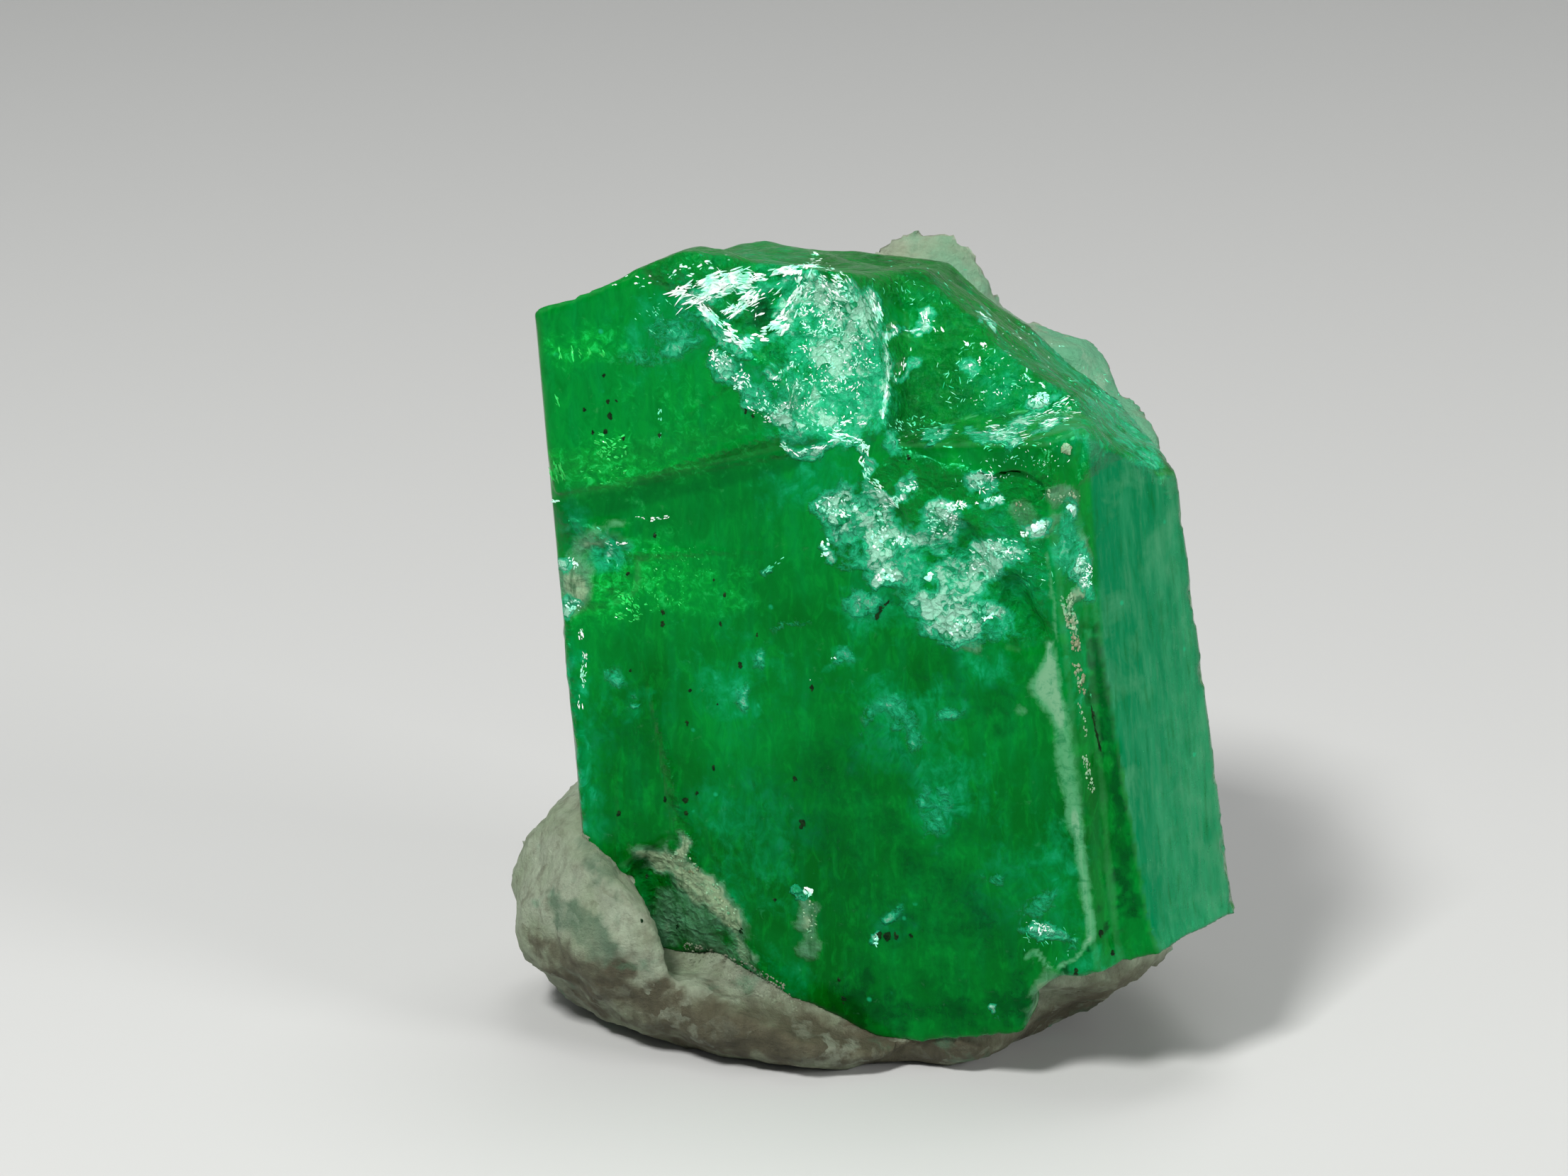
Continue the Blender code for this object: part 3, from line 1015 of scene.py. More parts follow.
@dataclass(frozen=True)
class RockFinish:
    """Cream calcite, dull and fine-grained. Colours are linear."""

    pale: Triple = (0.225, 0.285, 0.18)
    white: Triple = (0.41, 0.49, 0.36)
    tan: Triple = (0.1, 0.092, 0.05)
    umber: Triple = (0.035, 0.033, 0.014)
    green: Triple = (0.06, 0.13, 0.07)
    moss: Triple = (0.07, 0.33, 0.17)
    roughness: float = 0.75
    shard_density: float = 2.6
    grain_depth: float = 0.00015

    def build(self) -> bpy.types.Material:
        """Makes the material.

        Returns:
            The material.
        """
        made, graph, shader = new_material("calcite")
        place = graph.millimetres()
        broad = graph.noise(place, 0.8, 5.0, 0.6, 0.3)
        grain = graph.noise(place, 4.0, 5.0, 0.6)
        fibres = graph.noise(graph.turned(place, (0.0, 12.0, 0.0), (5.0, 5.0, 1.6)), 1.0, 5.0, 0.65, 0.5)
        height = graph.node("ShaderNodeSeparateXYZ", {"Vector": place}).outputs["Z"]
        bright = graph.sum(broad, graph.times(graph.layer(Layer.FROST_AND_GLINTS), 0.3))
        colour = graph.mix(graph.span(bright, 0.42, 0.66), self.pale, self.white)
        colour = graph.mix(graph.span(grain, 0.5, 0.75, 0.0, 0.4), colour, self.tan)
        # Painted shade with real brown staining: darker towards the bottom, from the stain and shade
        # mask and the height.
        low = graph.sum(graph.layer(Layer.STAIN_AND_SHADE), graph.span(height, 0.2, 2.0, 0.35, 0.0))
        shade = graph.sum(low, graph.span(broad, 0.3, 0.7, -0.3, 0.3))
        shade = graph.sum(shade, graph.span(grain, 0.3, 0.7, -0.15, 0.15))
        colour = graph.mix(graph.span(shade, -0.2, 1.0, 0.0, 1.0), colour, self.tan)
        # Umber, darkest where the painted shade and stains lie.
        worn = graph.sum(graph.times(shade, 0.6), graph.span(fibres, 0.3, 0.7, -0.3, 0.3))
        colour = graph.mix(graph.span(worn, 0.0, 1.0, 0.0, 0.85), colour, self.umber)
        # Green from the cloud mask: painted light and shade from the crystal.
        green = graph.sum(graph.layer(Layer.CLOUD), graph.span(broad, 0.3, 0.7, -0.4, 0.4))
        colour = graph.mix(graph.span(green, 0.25, 0.9, 0.0, 0.8), colour, self.green)
        moss = graph.sum(graph.layer(Layer.GLOW), graph.span(broad, 0.3, 0.7, -0.4, 0.4))
        colour = graph.mix(graph.span(moss, 0.2, 0.9, 0.0, 0.85), colour, self.moss)
        shards = graph.place_group(shard_group(), {"Place": place, "Density": self.shard_density})
        facets = graph.span(shards.outputs["Lot"], 0.6, 1.0, 0.0, 0.35)
        colour = graph.mix(graph.times(facets, graph.span(grain, 0.45, 0.6)), colour, self.white)
        graph.put(colour, shader.inputs["Base Color"])
        shader.inputs["Roughness"].default_value = self.roughness
        fine = graph.noise(place, 9.0, 6.0, 0.7)
        rough = graph.sum(fine, graph.times(shards.outputs["Slope"], 0.4))
        rough = graph.sum(rough, graph.times(fibres, 0.5))
        graph.put(graph.bump(rough, 0.7, self.grain_depth), shader.inputs["Normal"])
        return made


@dataclass(frozen=True)
class SpeckFinish:
    """Dark mica and ore in the crystal. Colours are linear."""

    dark: Triple = (0.0, 0.012, 0.002)
    brown: Triple = (0.006, 0.03, 0.005)
    specular: float = 0.1

    def build(self) -> bpy.types.Material:
        """Makes the material.

        Returns:
            The material.
        """
        made, graph, shader = new_material("mica")
        place = graph.millimetres()
        mottle = graph.noise(place, 9.0, 3.0)
        colour = graph.mix(graph.span(mottle, 0.4, 0.6), self.dark, self.brown)
        graph.put(colour, shader.inputs["Base Color"])
        graph.put(graph.span(mottle, 0.3, 0.7, 0.35, 0.6), shader.inputs["Roughness"])
        shader.inputs["Specular IOR Level"].default_value = self.specular
        return made


@dataclass(frozen=True)
class CrumbFinish:
    """Loose crumbs of calcite and iron-stained dust. Colours are linear."""

    pale: Triple = (0.24, 0.42, 0.24)
    rust: Triple = (0.2, 0.23, 0.12)
    green: Triple = (0.06, 0.33, 0.15)
    roughness: float = 0.5

    def build(self) -> bpy.types.Material:
        """Makes the material.

        Returns:
            The material.
        """
        made, graph, shader = new_material("calcite_dust")
        place = graph.millimetres()
        tone = graph.noise(place, 5.0, 3.0)
        colour = graph.mix(graph.span(tone, 0.35, 0.5), self.green, self.pale)
        rusty = graph.noise(graph.turned(place, (0.0, 40.0, 0.0)), 3.0, 3.0)
        colour = graph.mix(graph.span(rusty, 0.5, 0.62), colour, self.rust)
        graph.put(colour, shader.inputs["Base Color"])
        shader.inputs["Roughness"].default_value = self.roughness
        return made


@dataclass(frozen=True)
class FlakeFinish:
    """Bright loose splinters of the crystal, and chips that stand for painted glints. Colours are
    linear.
    """

    name: str = "crushed_emerald_and_glints"
    bright: Triple = (0.93, 1.0, 0.96)
    tinted: Triple = (0.3, 0.9, 0.62)
    roughness: float = 0.22

    def build(self) -> bpy.types.Material:
        """Makes the material.

        Returns:
            The material.
        """
        made, graph, shader = new_material(self.name)
        tone = graph.noise(graph.millimetres(), 4.0, 2.0)
        colour = graph.mix(graph.span(tone, 0.4, 0.6), self.tinted, self.bright)
        graph.put(colour, shader.inputs["Base Color"])
        shader.inputs["Roughness"].default_value = self.roughness
        return made


# Painted glints: bright green and teal chips that stand for glints of light in the crystal.
GREEN_GLINT_FLAKES = FlakeFinish("green_glint_finish", (0.02, 0.7, 0.12), (0.0, 0.42, 0.05))
TEAL_GLINT_FLAKES = FlakeFinish("teal_glint_finish", (0.16, 0.85, 0.5), (0.01, 0.5, 0.2))


@dataclass(frozen=True)
class CrystalMarks:
    """Where the photograph shows marks on the crystal, as read off it."""

    # White frost on the broken faces, with painted reflections and glints: the arcs in the scooped
    # hollow and the small glint patches.
    frost_and_glints: Marks = patches(
        (1165, 718, 0.26, 0.2, 0, 0.9), (1200, 710, 0.34, 0.24, 0, 0.95),
        (1190, 748, 0.4, 0.24, 10, 0.8), (1243, 745, 0.26, 0.44, 0, 0.9), (1236, 778, 0.26, 0.3, 0, 0.8),
        (1250, 811, 0.27, 0.14), (1165, 778, 0.11, 0.13, 0, 0.9), (1290, 762, 0.42, 0.16, 0, 0.85),
        (1330, 735, 0.3, 0.3), (1387, 800, 0.28, 0.5, 22), (1345, 822, 0.3, 0.5, 0, 0.78),
        (1317, 868, 0.22, 0.28, 10, 0.95), (1350, 880, 0.34, 0.3), (1388, 864, 0.26, 0.16, -10, 0.95),
        (1418, 778, 0.4, 0.2, 10, 0.75), (1300, 850, 0.4, 0.22, 10, 0.65),
        (1220, 850, 0.34, 0.2, 10, 0.65), (1280, 800, 0.4, 0.3, 0, 0.4), (1200, 790, 0.3, 0.2, 0, 0.4),
        (1400, 880, 0.5, 0.3, 10, 0.4), (1466, 742, 0.16, 0.09, -20), (1452, 752, 0.14, 0.07, -10),
        (1258, 708, 0.26, 0.08, -25, 0.9), (1278, 685, 0.16, 0.1, 0, 0.85), (1340, 714, 0.3, 0.08, -6),
        (1387, 682, 0.26, 0.17, 0, 0.85), (1396, 706, 0.2, 0.06, -10, 0.9), (1513, 717, 0.1, 0.07),
        (1528, 806, 0.13, 0.36, -8, 0.75), (1180, 470, 0.75, 0.75, 0, 0.55),
        (1200, 560, 0.55, 0.75, 20, 0.5), (1130, 580, 0.45, 0.45, 40, 0.6),
        (1222, 440, 0.22, 0.42, -30, 0.85), (1175, 430, 0.3, 0.4, -30, 0.7),
        (1165, 500, 0.3, 0.3, 0, 0.7), (1024, 520, 0.3, 0.22, 48, 0.85), (1060, 555, 0.4, 0.2, 42, 0.6),
        (1108, 588, 0.26, 0.16, 40, 0.8), (1085, 528, 0.14, 0.08, 30, 0.9),
        (1170, 594, 0.2, 0.12, 10, 0.8), (796, 795, 0.12, 0.16), (797, 856, 0.14, 0.16, -30),
        (866, 774, 0.12, 0.07, 0, 0.9), (1134, 1256, 0.16, 0.1, 25), (1466, 563, 0.2, 0.09, -15),
        (1450, 590, 0.34, 0.1, -25, 0.8), (1417, 612, 0.3, 0.12, 12, 0.9),
        (1380, 612, 0.2, 0.1, 20, 0.6), (1305, 453, 0.16, 0.12, 20, 0.9),
        (1258, 468, 0.16, 0.08, -30, 0.9), (1290, 466, 0.16, 0.05, -5, 0.9),
        (1366, 514, 0.14, 0.12, 0, 0.55), (1282, 520, 0.08, 0.26, 35, 0.7),
        (1256, 622, 0.14, 0.2, 10, 0.6), (1325, 612, 0.24, 0.12, -20, 0.5),
        (1500, 490, 0.12, 0.12, 0, 0.8), (1590, 530, 0.12, 0.2, -20, 0.9),
        (1475, 1318, 0.4, 0.12, 12, 0.65), (1232, 1328, 0.1, 0.05, -50), (1398, 1430, 0.07, 0.04, 35),
    ) + strokes(
        # Painted reflections: the white arcs in the scooped hollow.
        (((962, 430), (1000, 412), (1032, 404), (1062, 410)), 0.16, 0.5),
        (((1040, 410), (1080, 400), (1120, 391), (1148, 388)), 0.09, 0.5),
        (((1020, 450), (1040, 436), (1062, 422), (1076, 408)), 0.08, 0.5),
        (((1034, 442), (1060, 432), (1078, 422)), 0.05, 0.4),
        (((990, 442), (1012, 466), (1036, 490), (1060, 500)), 0.12, 0.5),
        (((1036, 492), (1062, 488), (1090, 478), (1112, 462)), 0.1, 0.5),
        (((1090, 474), (1114, 448), (1130, 416), (1142, 380)), 0.14, 0.6),
        (((1140, 384), (1160, 400), (1190, 412)), 0.12, 0.8),
        (((1096, 532), (1112, 520), (1124, 510)), 0.035),
        (((1098, 614), (1110, 634), (1134, 644), (1176, 624)), 0.09, 0.7),
        (((1172, 612), (1204, 624), (1218, 650), (1224, 680)), 0.08, 0.7),
        (((1218, 684), (1240, 700), (1262, 706)), 0.08, 0.9),
        (((1246, 470), (1250, 530), (1243, 596)), 0.04, 0.9),
        (((1452, 614), (1480, 600), (1504, 588)), 0.06, 0.8),
        (((1384, 436), (1392, 450), (1404, 464)), 0.03, 0.9),
        (((1235, 782), (1285, 762), (1330, 775)), 0.1, 0.7),
    ) + patches(
        (1318, 1162, 0.16, 0.24, 10, 0.42, 0.8), (1306, 1128, 0.1, 0.14, 0, 0.34, 0.8),
        (1330, 1120, 0.08, 0.16, 0, 0.34, 0.8), (1250, 992, 0.16, 0.12, 20, 0.42, 0.8),
        (1276, 1012, 0.26, 0.14, 40, 0.38, 0.8), (1222, 1010, 0.1, 0.2, 0, 0.34, 0.8),
        (1338, 1003, 0.2, 0.12, 0, 0.42, 0.8), (1296, 1050, 0.2, 0.14, 50, 0.34, 0.8),
        (1186, 928, 0.16, 0.08, -10, 0.42, 0.8), (1400, 1236, 0.1, 0.1, 0, 0.36, 0.8),
        (1257, 1290, 0.18, 0.1, -30, 0.36, 0.8), (1468, 1276, 0.3, 0.2, -20, 0.34, 0.8),
        (1048, 985, 0.08, 0.16, 0, 0.4, 0.8), (897, 990, 0.08, 0.06, 0, 0.6, 0.8),
        (868, 962, 0.14, 0.2, 0, 0.34, 0.8), (1072, 930, 0.1, 0.2, 0, 0.34, 0.8),
        (1120, 880, 0.3, 0.06, -8, 0.4, 0.8), (1083, 808, 0.14, 0.04, -35, 0.6, 0.8),
        (958, 462, 0.4, 0.3, -20, 0.34, 0.8), (930, 500, 0.5, 0.16, -10, 0.24, 0.8),
    ) + strokes(
        (((1470, 440), (1530, 500), (1580, 560), (1620, 640)), 0.4, 0.36, 0.7, 0.3),
    ) + patches(
        (862, 778, 0.34, 0.3, 0, 0.24, 0.6), (1512, 770, 0.18, 0.6, -4, 0.3, 0.8),
    )
    crust: Marks = strokes(
        (((1520, 470), (1575, 520), (1620, 590), (1655, 680)), 0.42, 0.28, 0.6, 0.3),
    ) + patches(
        (1550, 590, 0.3, 0.4, 20, 0.25), (812, 826, 0.26, 0.46, 14, 0.9, 0.6),
        (836, 758, 0.32, 0.14, -22, 0.8, 0.7), (930, 1210, 0.44, 0.17, 14, 0.95),
        (955, 1228, 0.4, 0.22, 34), (962, 1196, 0.12, 0.28, -10), (992, 1250, 0.4, 0.22, 42),
        (1028, 1290, 0.2, 0.5, -36, 0.98), (970, 1290, 0.62, 0.42, 25, 0.62),
        (930, 1320, 0.3, 0.3, 0, 0.6), (1010, 1345, 0.4, 0.2, 30, 0.7),
        (1050, 1350, 0.12, 0.5, -32, 0.8), (1142, 1288, 0.15, 0.4, -4, 0.68),
        (1134, 1306, 0.22, 0.16, 0, 0.68), (1148, 1336, 0.2, 0.18, 0, 0.68),
        (1498, 700, 0.34, 0.16, 0, 0.72), (1440, 722, 0.2, 0.26, -20, 0.55),
        (1466, 745, 0.4, 0.14, -20, 0.6), (1474, 1415, 0.26, 0.55, 12, 0.8),
        (1363, 906, 0.2, 0.14, 20, 0.8), (1190, 755, 0.3, 0.16, 0, 0.62), (1335, 835, 0.16, 0.3, 0, 0.6),
        (1530, 770, 0.12, 0.3, -10, 0.6),
    ) + strokes(
        (((1530, 790), (1534, 820), (1508, 850), (1513, 880)), 0.08, 0.9),
    )
    worn: Marks = strokes(
        (((1492, 985), (1500, 1050), (1507, 1100), (1518, 1170)), 0.15, 0.82, 0.6, 0.2),
        (((1516, 1150), (1526, 1218), (1536, 1290), (1538, 1326)), 0.09, 0.86, 0.6, 0.2),
        (((1477, 780), (1486, 850), (1490, 905)), 0.03, 0.6, 0.6, 0.2),
        (((1538, 1322), (1518, 1352), (1492, 1366)), 0.035, 0.9, 0.6, 0.2),
        (((1446, 1352), (1456, 1344), (1468, 1350), (1478, 1362)), 0.05, 0.8, 0.6, 0.2),
        (((1478, 1362), (1500, 1372), (1512, 1384)), 0.02, 0.7, 0.6, 0.2),
        (((1480, 908), (1487, 960), (1495, 1010)), 0.12, 0.95, 0.5, 0.5),
        (((1478, 930), (1464, 968), (1480, 990), (1496, 1020)), 0.14, 0.85, 0.7, 0.5),
    ) + patches(
        (1476, 965, 0.16, 0.3, 0, 0.9, 0.6), (1440, 1003, 0.1, 0.07, 0, 0.5, 0.6),
        (810, 818, 0.26, 0.5, 14, 0.95, 0.6), (836, 752, 0.26, 0.1, -20, 0.6, 0.8),
        (870, 738, 0.14, 0.06, 10, 0.7, 0.8),
    )
    cloud: Marks = patches(
        (1257, 1003, 0.7, 0.42, 20, 0.8, 0.8), (1335, 1000, 0.35, 0.3, 0, 0.8, 0.8),
        (1318, 1150, 0.36, 0.44, 10, 1, 0.7), (1343, 1092, 0.7, 0.5, 30, 0.75, 0.8),
        (1250, 1060, 0.7, 0.4, 0, 0.55, 0.8), (1430, 1240, 0.7, 0.8, 10, 0.6, 0.8),
        (1255, 1298, 0.3, 0.24, 0, 0.7, 0.8), (1060, 1190, 1, 1.1, 0, 0.5, 0.9),
        (1090, 1400, 0.7, 0.5, 30, 0.6, 0.8), (1185, 927, 0.2, 0.14, 0, 0.9, 0.8),
        (1048, 985, 0.2, 0.3, 0, 0.7, 0.8), (1070, 930, 0.2, 0.3, 0, 0.6, 0.8),
        (864, 966, 0.25, 0.3, 0, 0.6, 0.8), (897, 990, 0.14, 0.14, 0, 0.9, 0.8),
        (1020, 960, 1.2, 0.9, 0, 0.3, 0.9), (1150, 690, 0.8, 0.45, 0, 0.75, 0.8),
        (1420, 740, 0.6, 0.4, 0, 0.75, 0.8), (1440, 830, 0.5, 0.7, 0, 0.7, 0.8),
        (1430, 560, 0.8, 0.6, 30, 0.6, 0.8), (1530, 600, 0.5, 0.6, 30, 0.75, 0.8),
        (1480, 520, 0.5, 0.9, -40, 0.65, 0.8), (960, 440, 0.8, 0.35, -20, 0.65, 0.8),
        (1250, 850, 0.9, 0.5, 10, 0.8, 0.8), (810, 740, 0.3, 0.4, 0, 0.65, 0.8),
        (852, 780, 0.5, 0.46, 0, 1, 0.3), (1150, 530, 1.1, 1.3, -20, 0.85, 0.6),
        (1090, 400, 0.9, 0.6, 0, 0.8, 0.8), (1545, 1361, 0.5, 0.45, 0, 0.6, 0.8),
        (1500, 1240, 0.35, 0.9, 6, 0.6, 0.8), (1512, 770, 0.25, 0.9, -4, 0.9, 0.6),
        (940, 470, 0.7, 0.7, 0, 0.6, 0.8), (1560, 560, 0.5, 0.9, -30, 0.8, 0.8),
        (1300, 430, 0.9, 0.4, 0, 0.5, 0.9), (1380, 930, 0.7, 0.4, 20, 0.6, 0.8),
        (1520, 900, 0.3, 1.6, 4, 0.6, 0.8), (830, 1120, 0.35, 1.5, 6, 0.4, 0.8),
    ) + strokes(
        (((806, 892), (811, 960), (808, 1020), (814, 1100), (822, 1210)), 0.13, 0.9, 0.6, 0.2),
    )
    # Painted light: bright green glints and mottles, the lit face above the ledge, and fill light in the
    # hollow under the upper break.
    glow: Marks = patches(
        (784, 658, 0.16, 0.18, 0, 1, 0.4), (800, 496, 0.5, 0.14, 0, 0.8, 0.6),
        (864, 620, 0.26, 0.22, 0, 0.8, 0.6), (1390, 640, 1.3, 0.3, 0, 0.3, 0.7),
        (850, 655, 0.6, 0.35, 0, 0.75, 0.8), (900, 670, 1, 0.35, -12, 0.75, 0.8),
        (850, 850, 0.5, 0.4, 0, 0.95, 0.8), (920, 800, 0.5, 0.7, 0, 0.75, 0.8),
        (840, 490, 0.7, 0.3, 0, 0.5, 0.9), (980, 820, 0.9, 0.5, 0, 0.6, 0.8),
        (1000, 600, 1.2, 0.7, 30, 0.4, 0.9),
    )
    # Real dark patches and a crack, with painted shade: the shadow along the bottom edges, in the band
    # under the upper break and on the shadowed strip at the right, and a darker lower front.
    stain_and_shade: Marks = patches(
        (1140, 760, 0.3, 0.3, 0, 0.3, 0.8), (1310, 560, 0.7, 0.6, 0, 0.6, 0.6),
        (1300, 632, 0.9, 0.34, 0, 0.55, 0.7), (1430, 640, 0.6, 0.24, 0, 0.5, 0.7),
        (1420, 590, 0.4, 0.3, 0, 0.35, 0.8), (1310, 375, 1, 0.4, 5, 0.4, 0.8),
        (1320, 940, 0.5, 0.3, 20, 0.45, 0.8), (1400, 1000, 0.5, 0.4, 0, 0.4, 0.8),
        (1255, 1425, 1, 0.24, 3, 0.7, 0.7), (1200, 1400, 0.3, 0.4, 20, 0.85, 0.6),
        (1400, 1425, 0.7, 0.22, -8, 0.7, 0.7), (1437, 1400, 0.12, 0.6, 0, 0.6, 0.6),
        (1078, 440, 0.34, 0.3, -30, 0.9, 0.6), (1096, 505, 0.3, 0.2, -20, 0.4, 0.6),
        (1553, 1319, 0.14, 0.14), (1516, 1372, 0.14, 0.12), (1250, 858, 0.07, 0.24, 35),
        (1200, 1120, 1.5, 1.4, 0, 0.45, 0.9), (1340, 1300, 1.5, 1.2, 0, 0.55, 0.9),
        (900, 1080, 1, 1.2, 0, 0.3, 0.9), (950, 1210, 0.5, 0.3, 0, 0.4, 0.9),
        (1010, 1310, 0.26, 0.26, 30, 0.6, 0.6), (930, 1290, 0.3, 0.2, 30, 0.5, 0.6),
    ) + strokes(
        (((1552, 900), (1560, 1000), (1575, 1130), (1592, 1290)), 0.16, 0.75, 0.4, 0.2),
        (((1540, 1000), (1546, 1030), (1553, 1060)), 0.05, 1, 0.3),
    )
    # Painted shadow under the ledge: a dark line along it and a darker band below.
    shade: Marks = strokes(
        (((770, 727), (868, 708), (905, 695), (1000, 674), (1117, 648)), 0.2, 0.75, 0.2, 0.1),
        (((770, 752), (880, 728), (960, 706), (1070, 684)), 0.5, 0.4, 0.55, 0.2),
    )


CRYSTAL_MARKS = CrystalMarks()


@dataclass
class Crystal:
    """The broken emerald prism."""

    node: bpy.types.Object
    cell: float = 0.08
    flat_area: float = 0.35
    broken_reach: float = 0.25
    sharp_angle: float = 24.0
    edge_step: float = 0.06
    scallop: float = 0.85
    scallop_depth: float = 0.09
    crackle: float = 0.3
    crackle_depth: float = 0.05
    chip_depth: float = 0.05
    chip_reach: float = 0.22
    lobe: Mark = Mark((846.0, 796.0), (0.52, 0.72), 22.0, 1.0, 0.2)
    lobe_height: float = 0.12
    bowl: Mark = Mark((1060.0, 440.0), (1.1, 0.75), 25.0)
    ripple_middle: Pair = (1150.0, 300.0)
    ripple_shape: Pair = (1.0, 0.75)
    ripple_length: float = 0.42
    ripple_height: float = 0.035
    grain_height: float = 0.012
    hidden_frost: float = 0.75
    hidden_crust: float = 0.55
    hidden_striae: float = 0.6
    side_azimuth: float = 40.0
    side_start: tuple[Triple, Triple] = ((640.0, 1000.0, 1345.0), (1532.0, 1558.0, 1625.0))
    ease_steps: int = 16
    least_ease: float = 0.2

    def build(self) -> bpy.types.Object:
        """Makes the piece and gives it its masks and material.

        Returns:
            The piece, in metres.
        """
        piece = finer_copy(self.node, "emerald")
        sharp = self.sharp_points(piece)
        flat = self.flat_faces(piece)
        rebuild(piece, self.cell)
        points = [Vector(point) for point in corners(piece)]
        near = np.array([sharp.find(point)[2] for point in points])
        off = np.array([flat.find_nearest(point)[3] for point in points])
        broken = smooth_step(0.02, self.broken_reach, off)
        self.ease_creases(piece, np.maximum(broken, smooth_step(0.05, 0.3, near)))
        Fitting().fit(piece)
        self.chip_edges(piece, near)
        self.break_up(piece, broken)
        self.paint_masks(piece, near)
        piece.data.materials.append(EmeraldFinish().build())
        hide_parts(self.node.name)
        finish_piece(piece, SMOOTH_ANGLE)
        return piece

    def flat_faces(self, piece: bpy.types.Object) -> BVHTree:
        """The large faces, which are those that grew and didn't break.

        Args:
            piece: A mesh object, in millimetres.

        Returns:
            A tree of these faces.
        """
        chosen = [face for face in piece.data.polygons if face.area > self.flat_area]
        places = [tuple(vert.co) for vert in piece.data.vertices]
        return BVHTree.FromPolygons(places, [tuple(face.vertices) for face in chosen])

    def sharp_points(self, piece: bpy.types.Object) -> kdtree.KDTree:
        """Points along the edges where large faces meet.

        Args:
            piece: A mesh object, in millimetres.

        Returns:
            A tree of these points.
        """
        found = []
        bm = bmesh.new()
        bm.from_mesh(piece.data)
        for edge in bm.edges:
            if edge.calc_face_angle() < math.radians(self.sharp_angle):
                continue
            if max(face.calc_area() for face in edge.link_faces) < self.flat_area:
                continue
            first, second = (vert.co for vert in edge.verts)
            count = max(2, int((second - first).length / self.edge_step))
            found += [first.lerp(second, index / count) for index in range(count + 1)]
        bm.free()
        tree = kdtree.KDTree(len(found))
        for index, point in enumerate(found):
            tree.insert(point, index)
        tree.balance()
        return tree

    def ease_creases(self, piece: bpy.types.Object, free: np.ndarray) -> None:
        """Rounds the creases between the solid's facets, and keeps the edges between its faces.

        Args:
            piece: A mesh object, in millimetres.
            free: How freely each corner may move, from 0 to 1.
        """
        group = piece.vertex_groups.new(name="free")
        for index, weight in enumerate(np.maximum(free, self.least_ease)):
            group.add([index], float(weight), "REPLACE")
        eased = piece.modifiers.new("ease", "SMOOTH")
        eased.factor = 0.5
        eased.iterations = self.ease_steps
        eased.vertex_group = group.name
        apply_all(piece)
        piece.vertex_groups.clear()

    def chip_edges(self, piece: bpy.types.Object, near: np.ndarray) -> None:
        """Wears the edges between the large faces unevenly.

        Args:
            piece: A mesh object, in millimetres.
            near: How far each corner is from the edges between the large faces.
        """
        points = corners(piece)
        close = 1.0 - smooth_step(0.0, self.chip_reach, near)
        bite = smooth_step(0.0, 0.6, fractal(points, 0.5, 4, 8.0)) * close
        move_corners(piece, points - normals(piece) * (bite * self.chip_depth)[:, None])

    def break_up(self, piece: bpy.types.Object, broken: np.ndarray) -> None:
        """Gives the broken surfaces scallops and crackle, and the frosted ones pits.

        Args:
            piece: A mesh object, in millimetres.
            broken: How much each corner lies where the stone broke, from 0 to 1.
        """
        points = corners(piece)
        marks = CRYSTAL_MARKS
        hidden = far_side(piece)
        frost_and_glints = marked(piece, marks.frost_and_glints)
        patchy = smooth_step(0.2, 0.6, fractal(points, 0.8, 5, 43.0))
        frost_and_glints = np.maximum(frost_and_glints, hidden * self.hidden_frost * patchy)
        crust = marked(piece, marks.crust)
        patchy = smooth_step(0.36, 0.6, fractal(points, 1.0, 5, 31.0))
        crust = np.maximum(crust, hidden * self.hidden_crust * patchy)
        scallops = np.array([noise.voronoi(Vector(point) / self.scallop)[0][0] for point in points])
        shards = np.array([noise.voronoi(Vector(point) / self.crackle)[0][0] for point in points])
        grain = fractal(points, 0.16, 3, 5.0)
        height = broken * (scallops - 0.45) * self.scallop_depth
        height += np.maximum(broken * 0.6, frost_and_glints * 0.7) * (shards - 0.5) * self.crackle_depth
        height += (frost_and_glints + crust) * grain * self.grain_height
        height += self.ripples(piece, points) + marked(piece, (self.lobe,), 0.05) * self.lobe_height
        move_corners(piece, points + normals(piece) * height[:, None])
        paint(piece, Layer.BROKEN, broken)
        paint(piece, Layer.FROST_AND_GLINTS, frost_and_glints)
        paint(piece, Layer.CRUST, crust)

    def ripples(self, piece: bpy.types.Object, points: np.ndarray) -> np.ndarray:
        """The curved steps of the scooped hollow, as heights.

        Args:
            piece: A mesh object, in millimetres.
            points: Its corners.

        Returns:
            One height for each corner.
        """
        seen = PICTURE.pixels(points)
        away = np.linalg.norm((seen - np.array(self.ripple_middle)) / self.ripple_shape, axis=1)
        waves = np.sin(away / PICTURE.pixels_per_mm * 2.0 * math.pi / self.ripple_length)
        return marked(piece, (self.bowl,)) * waves * self.ripple_height

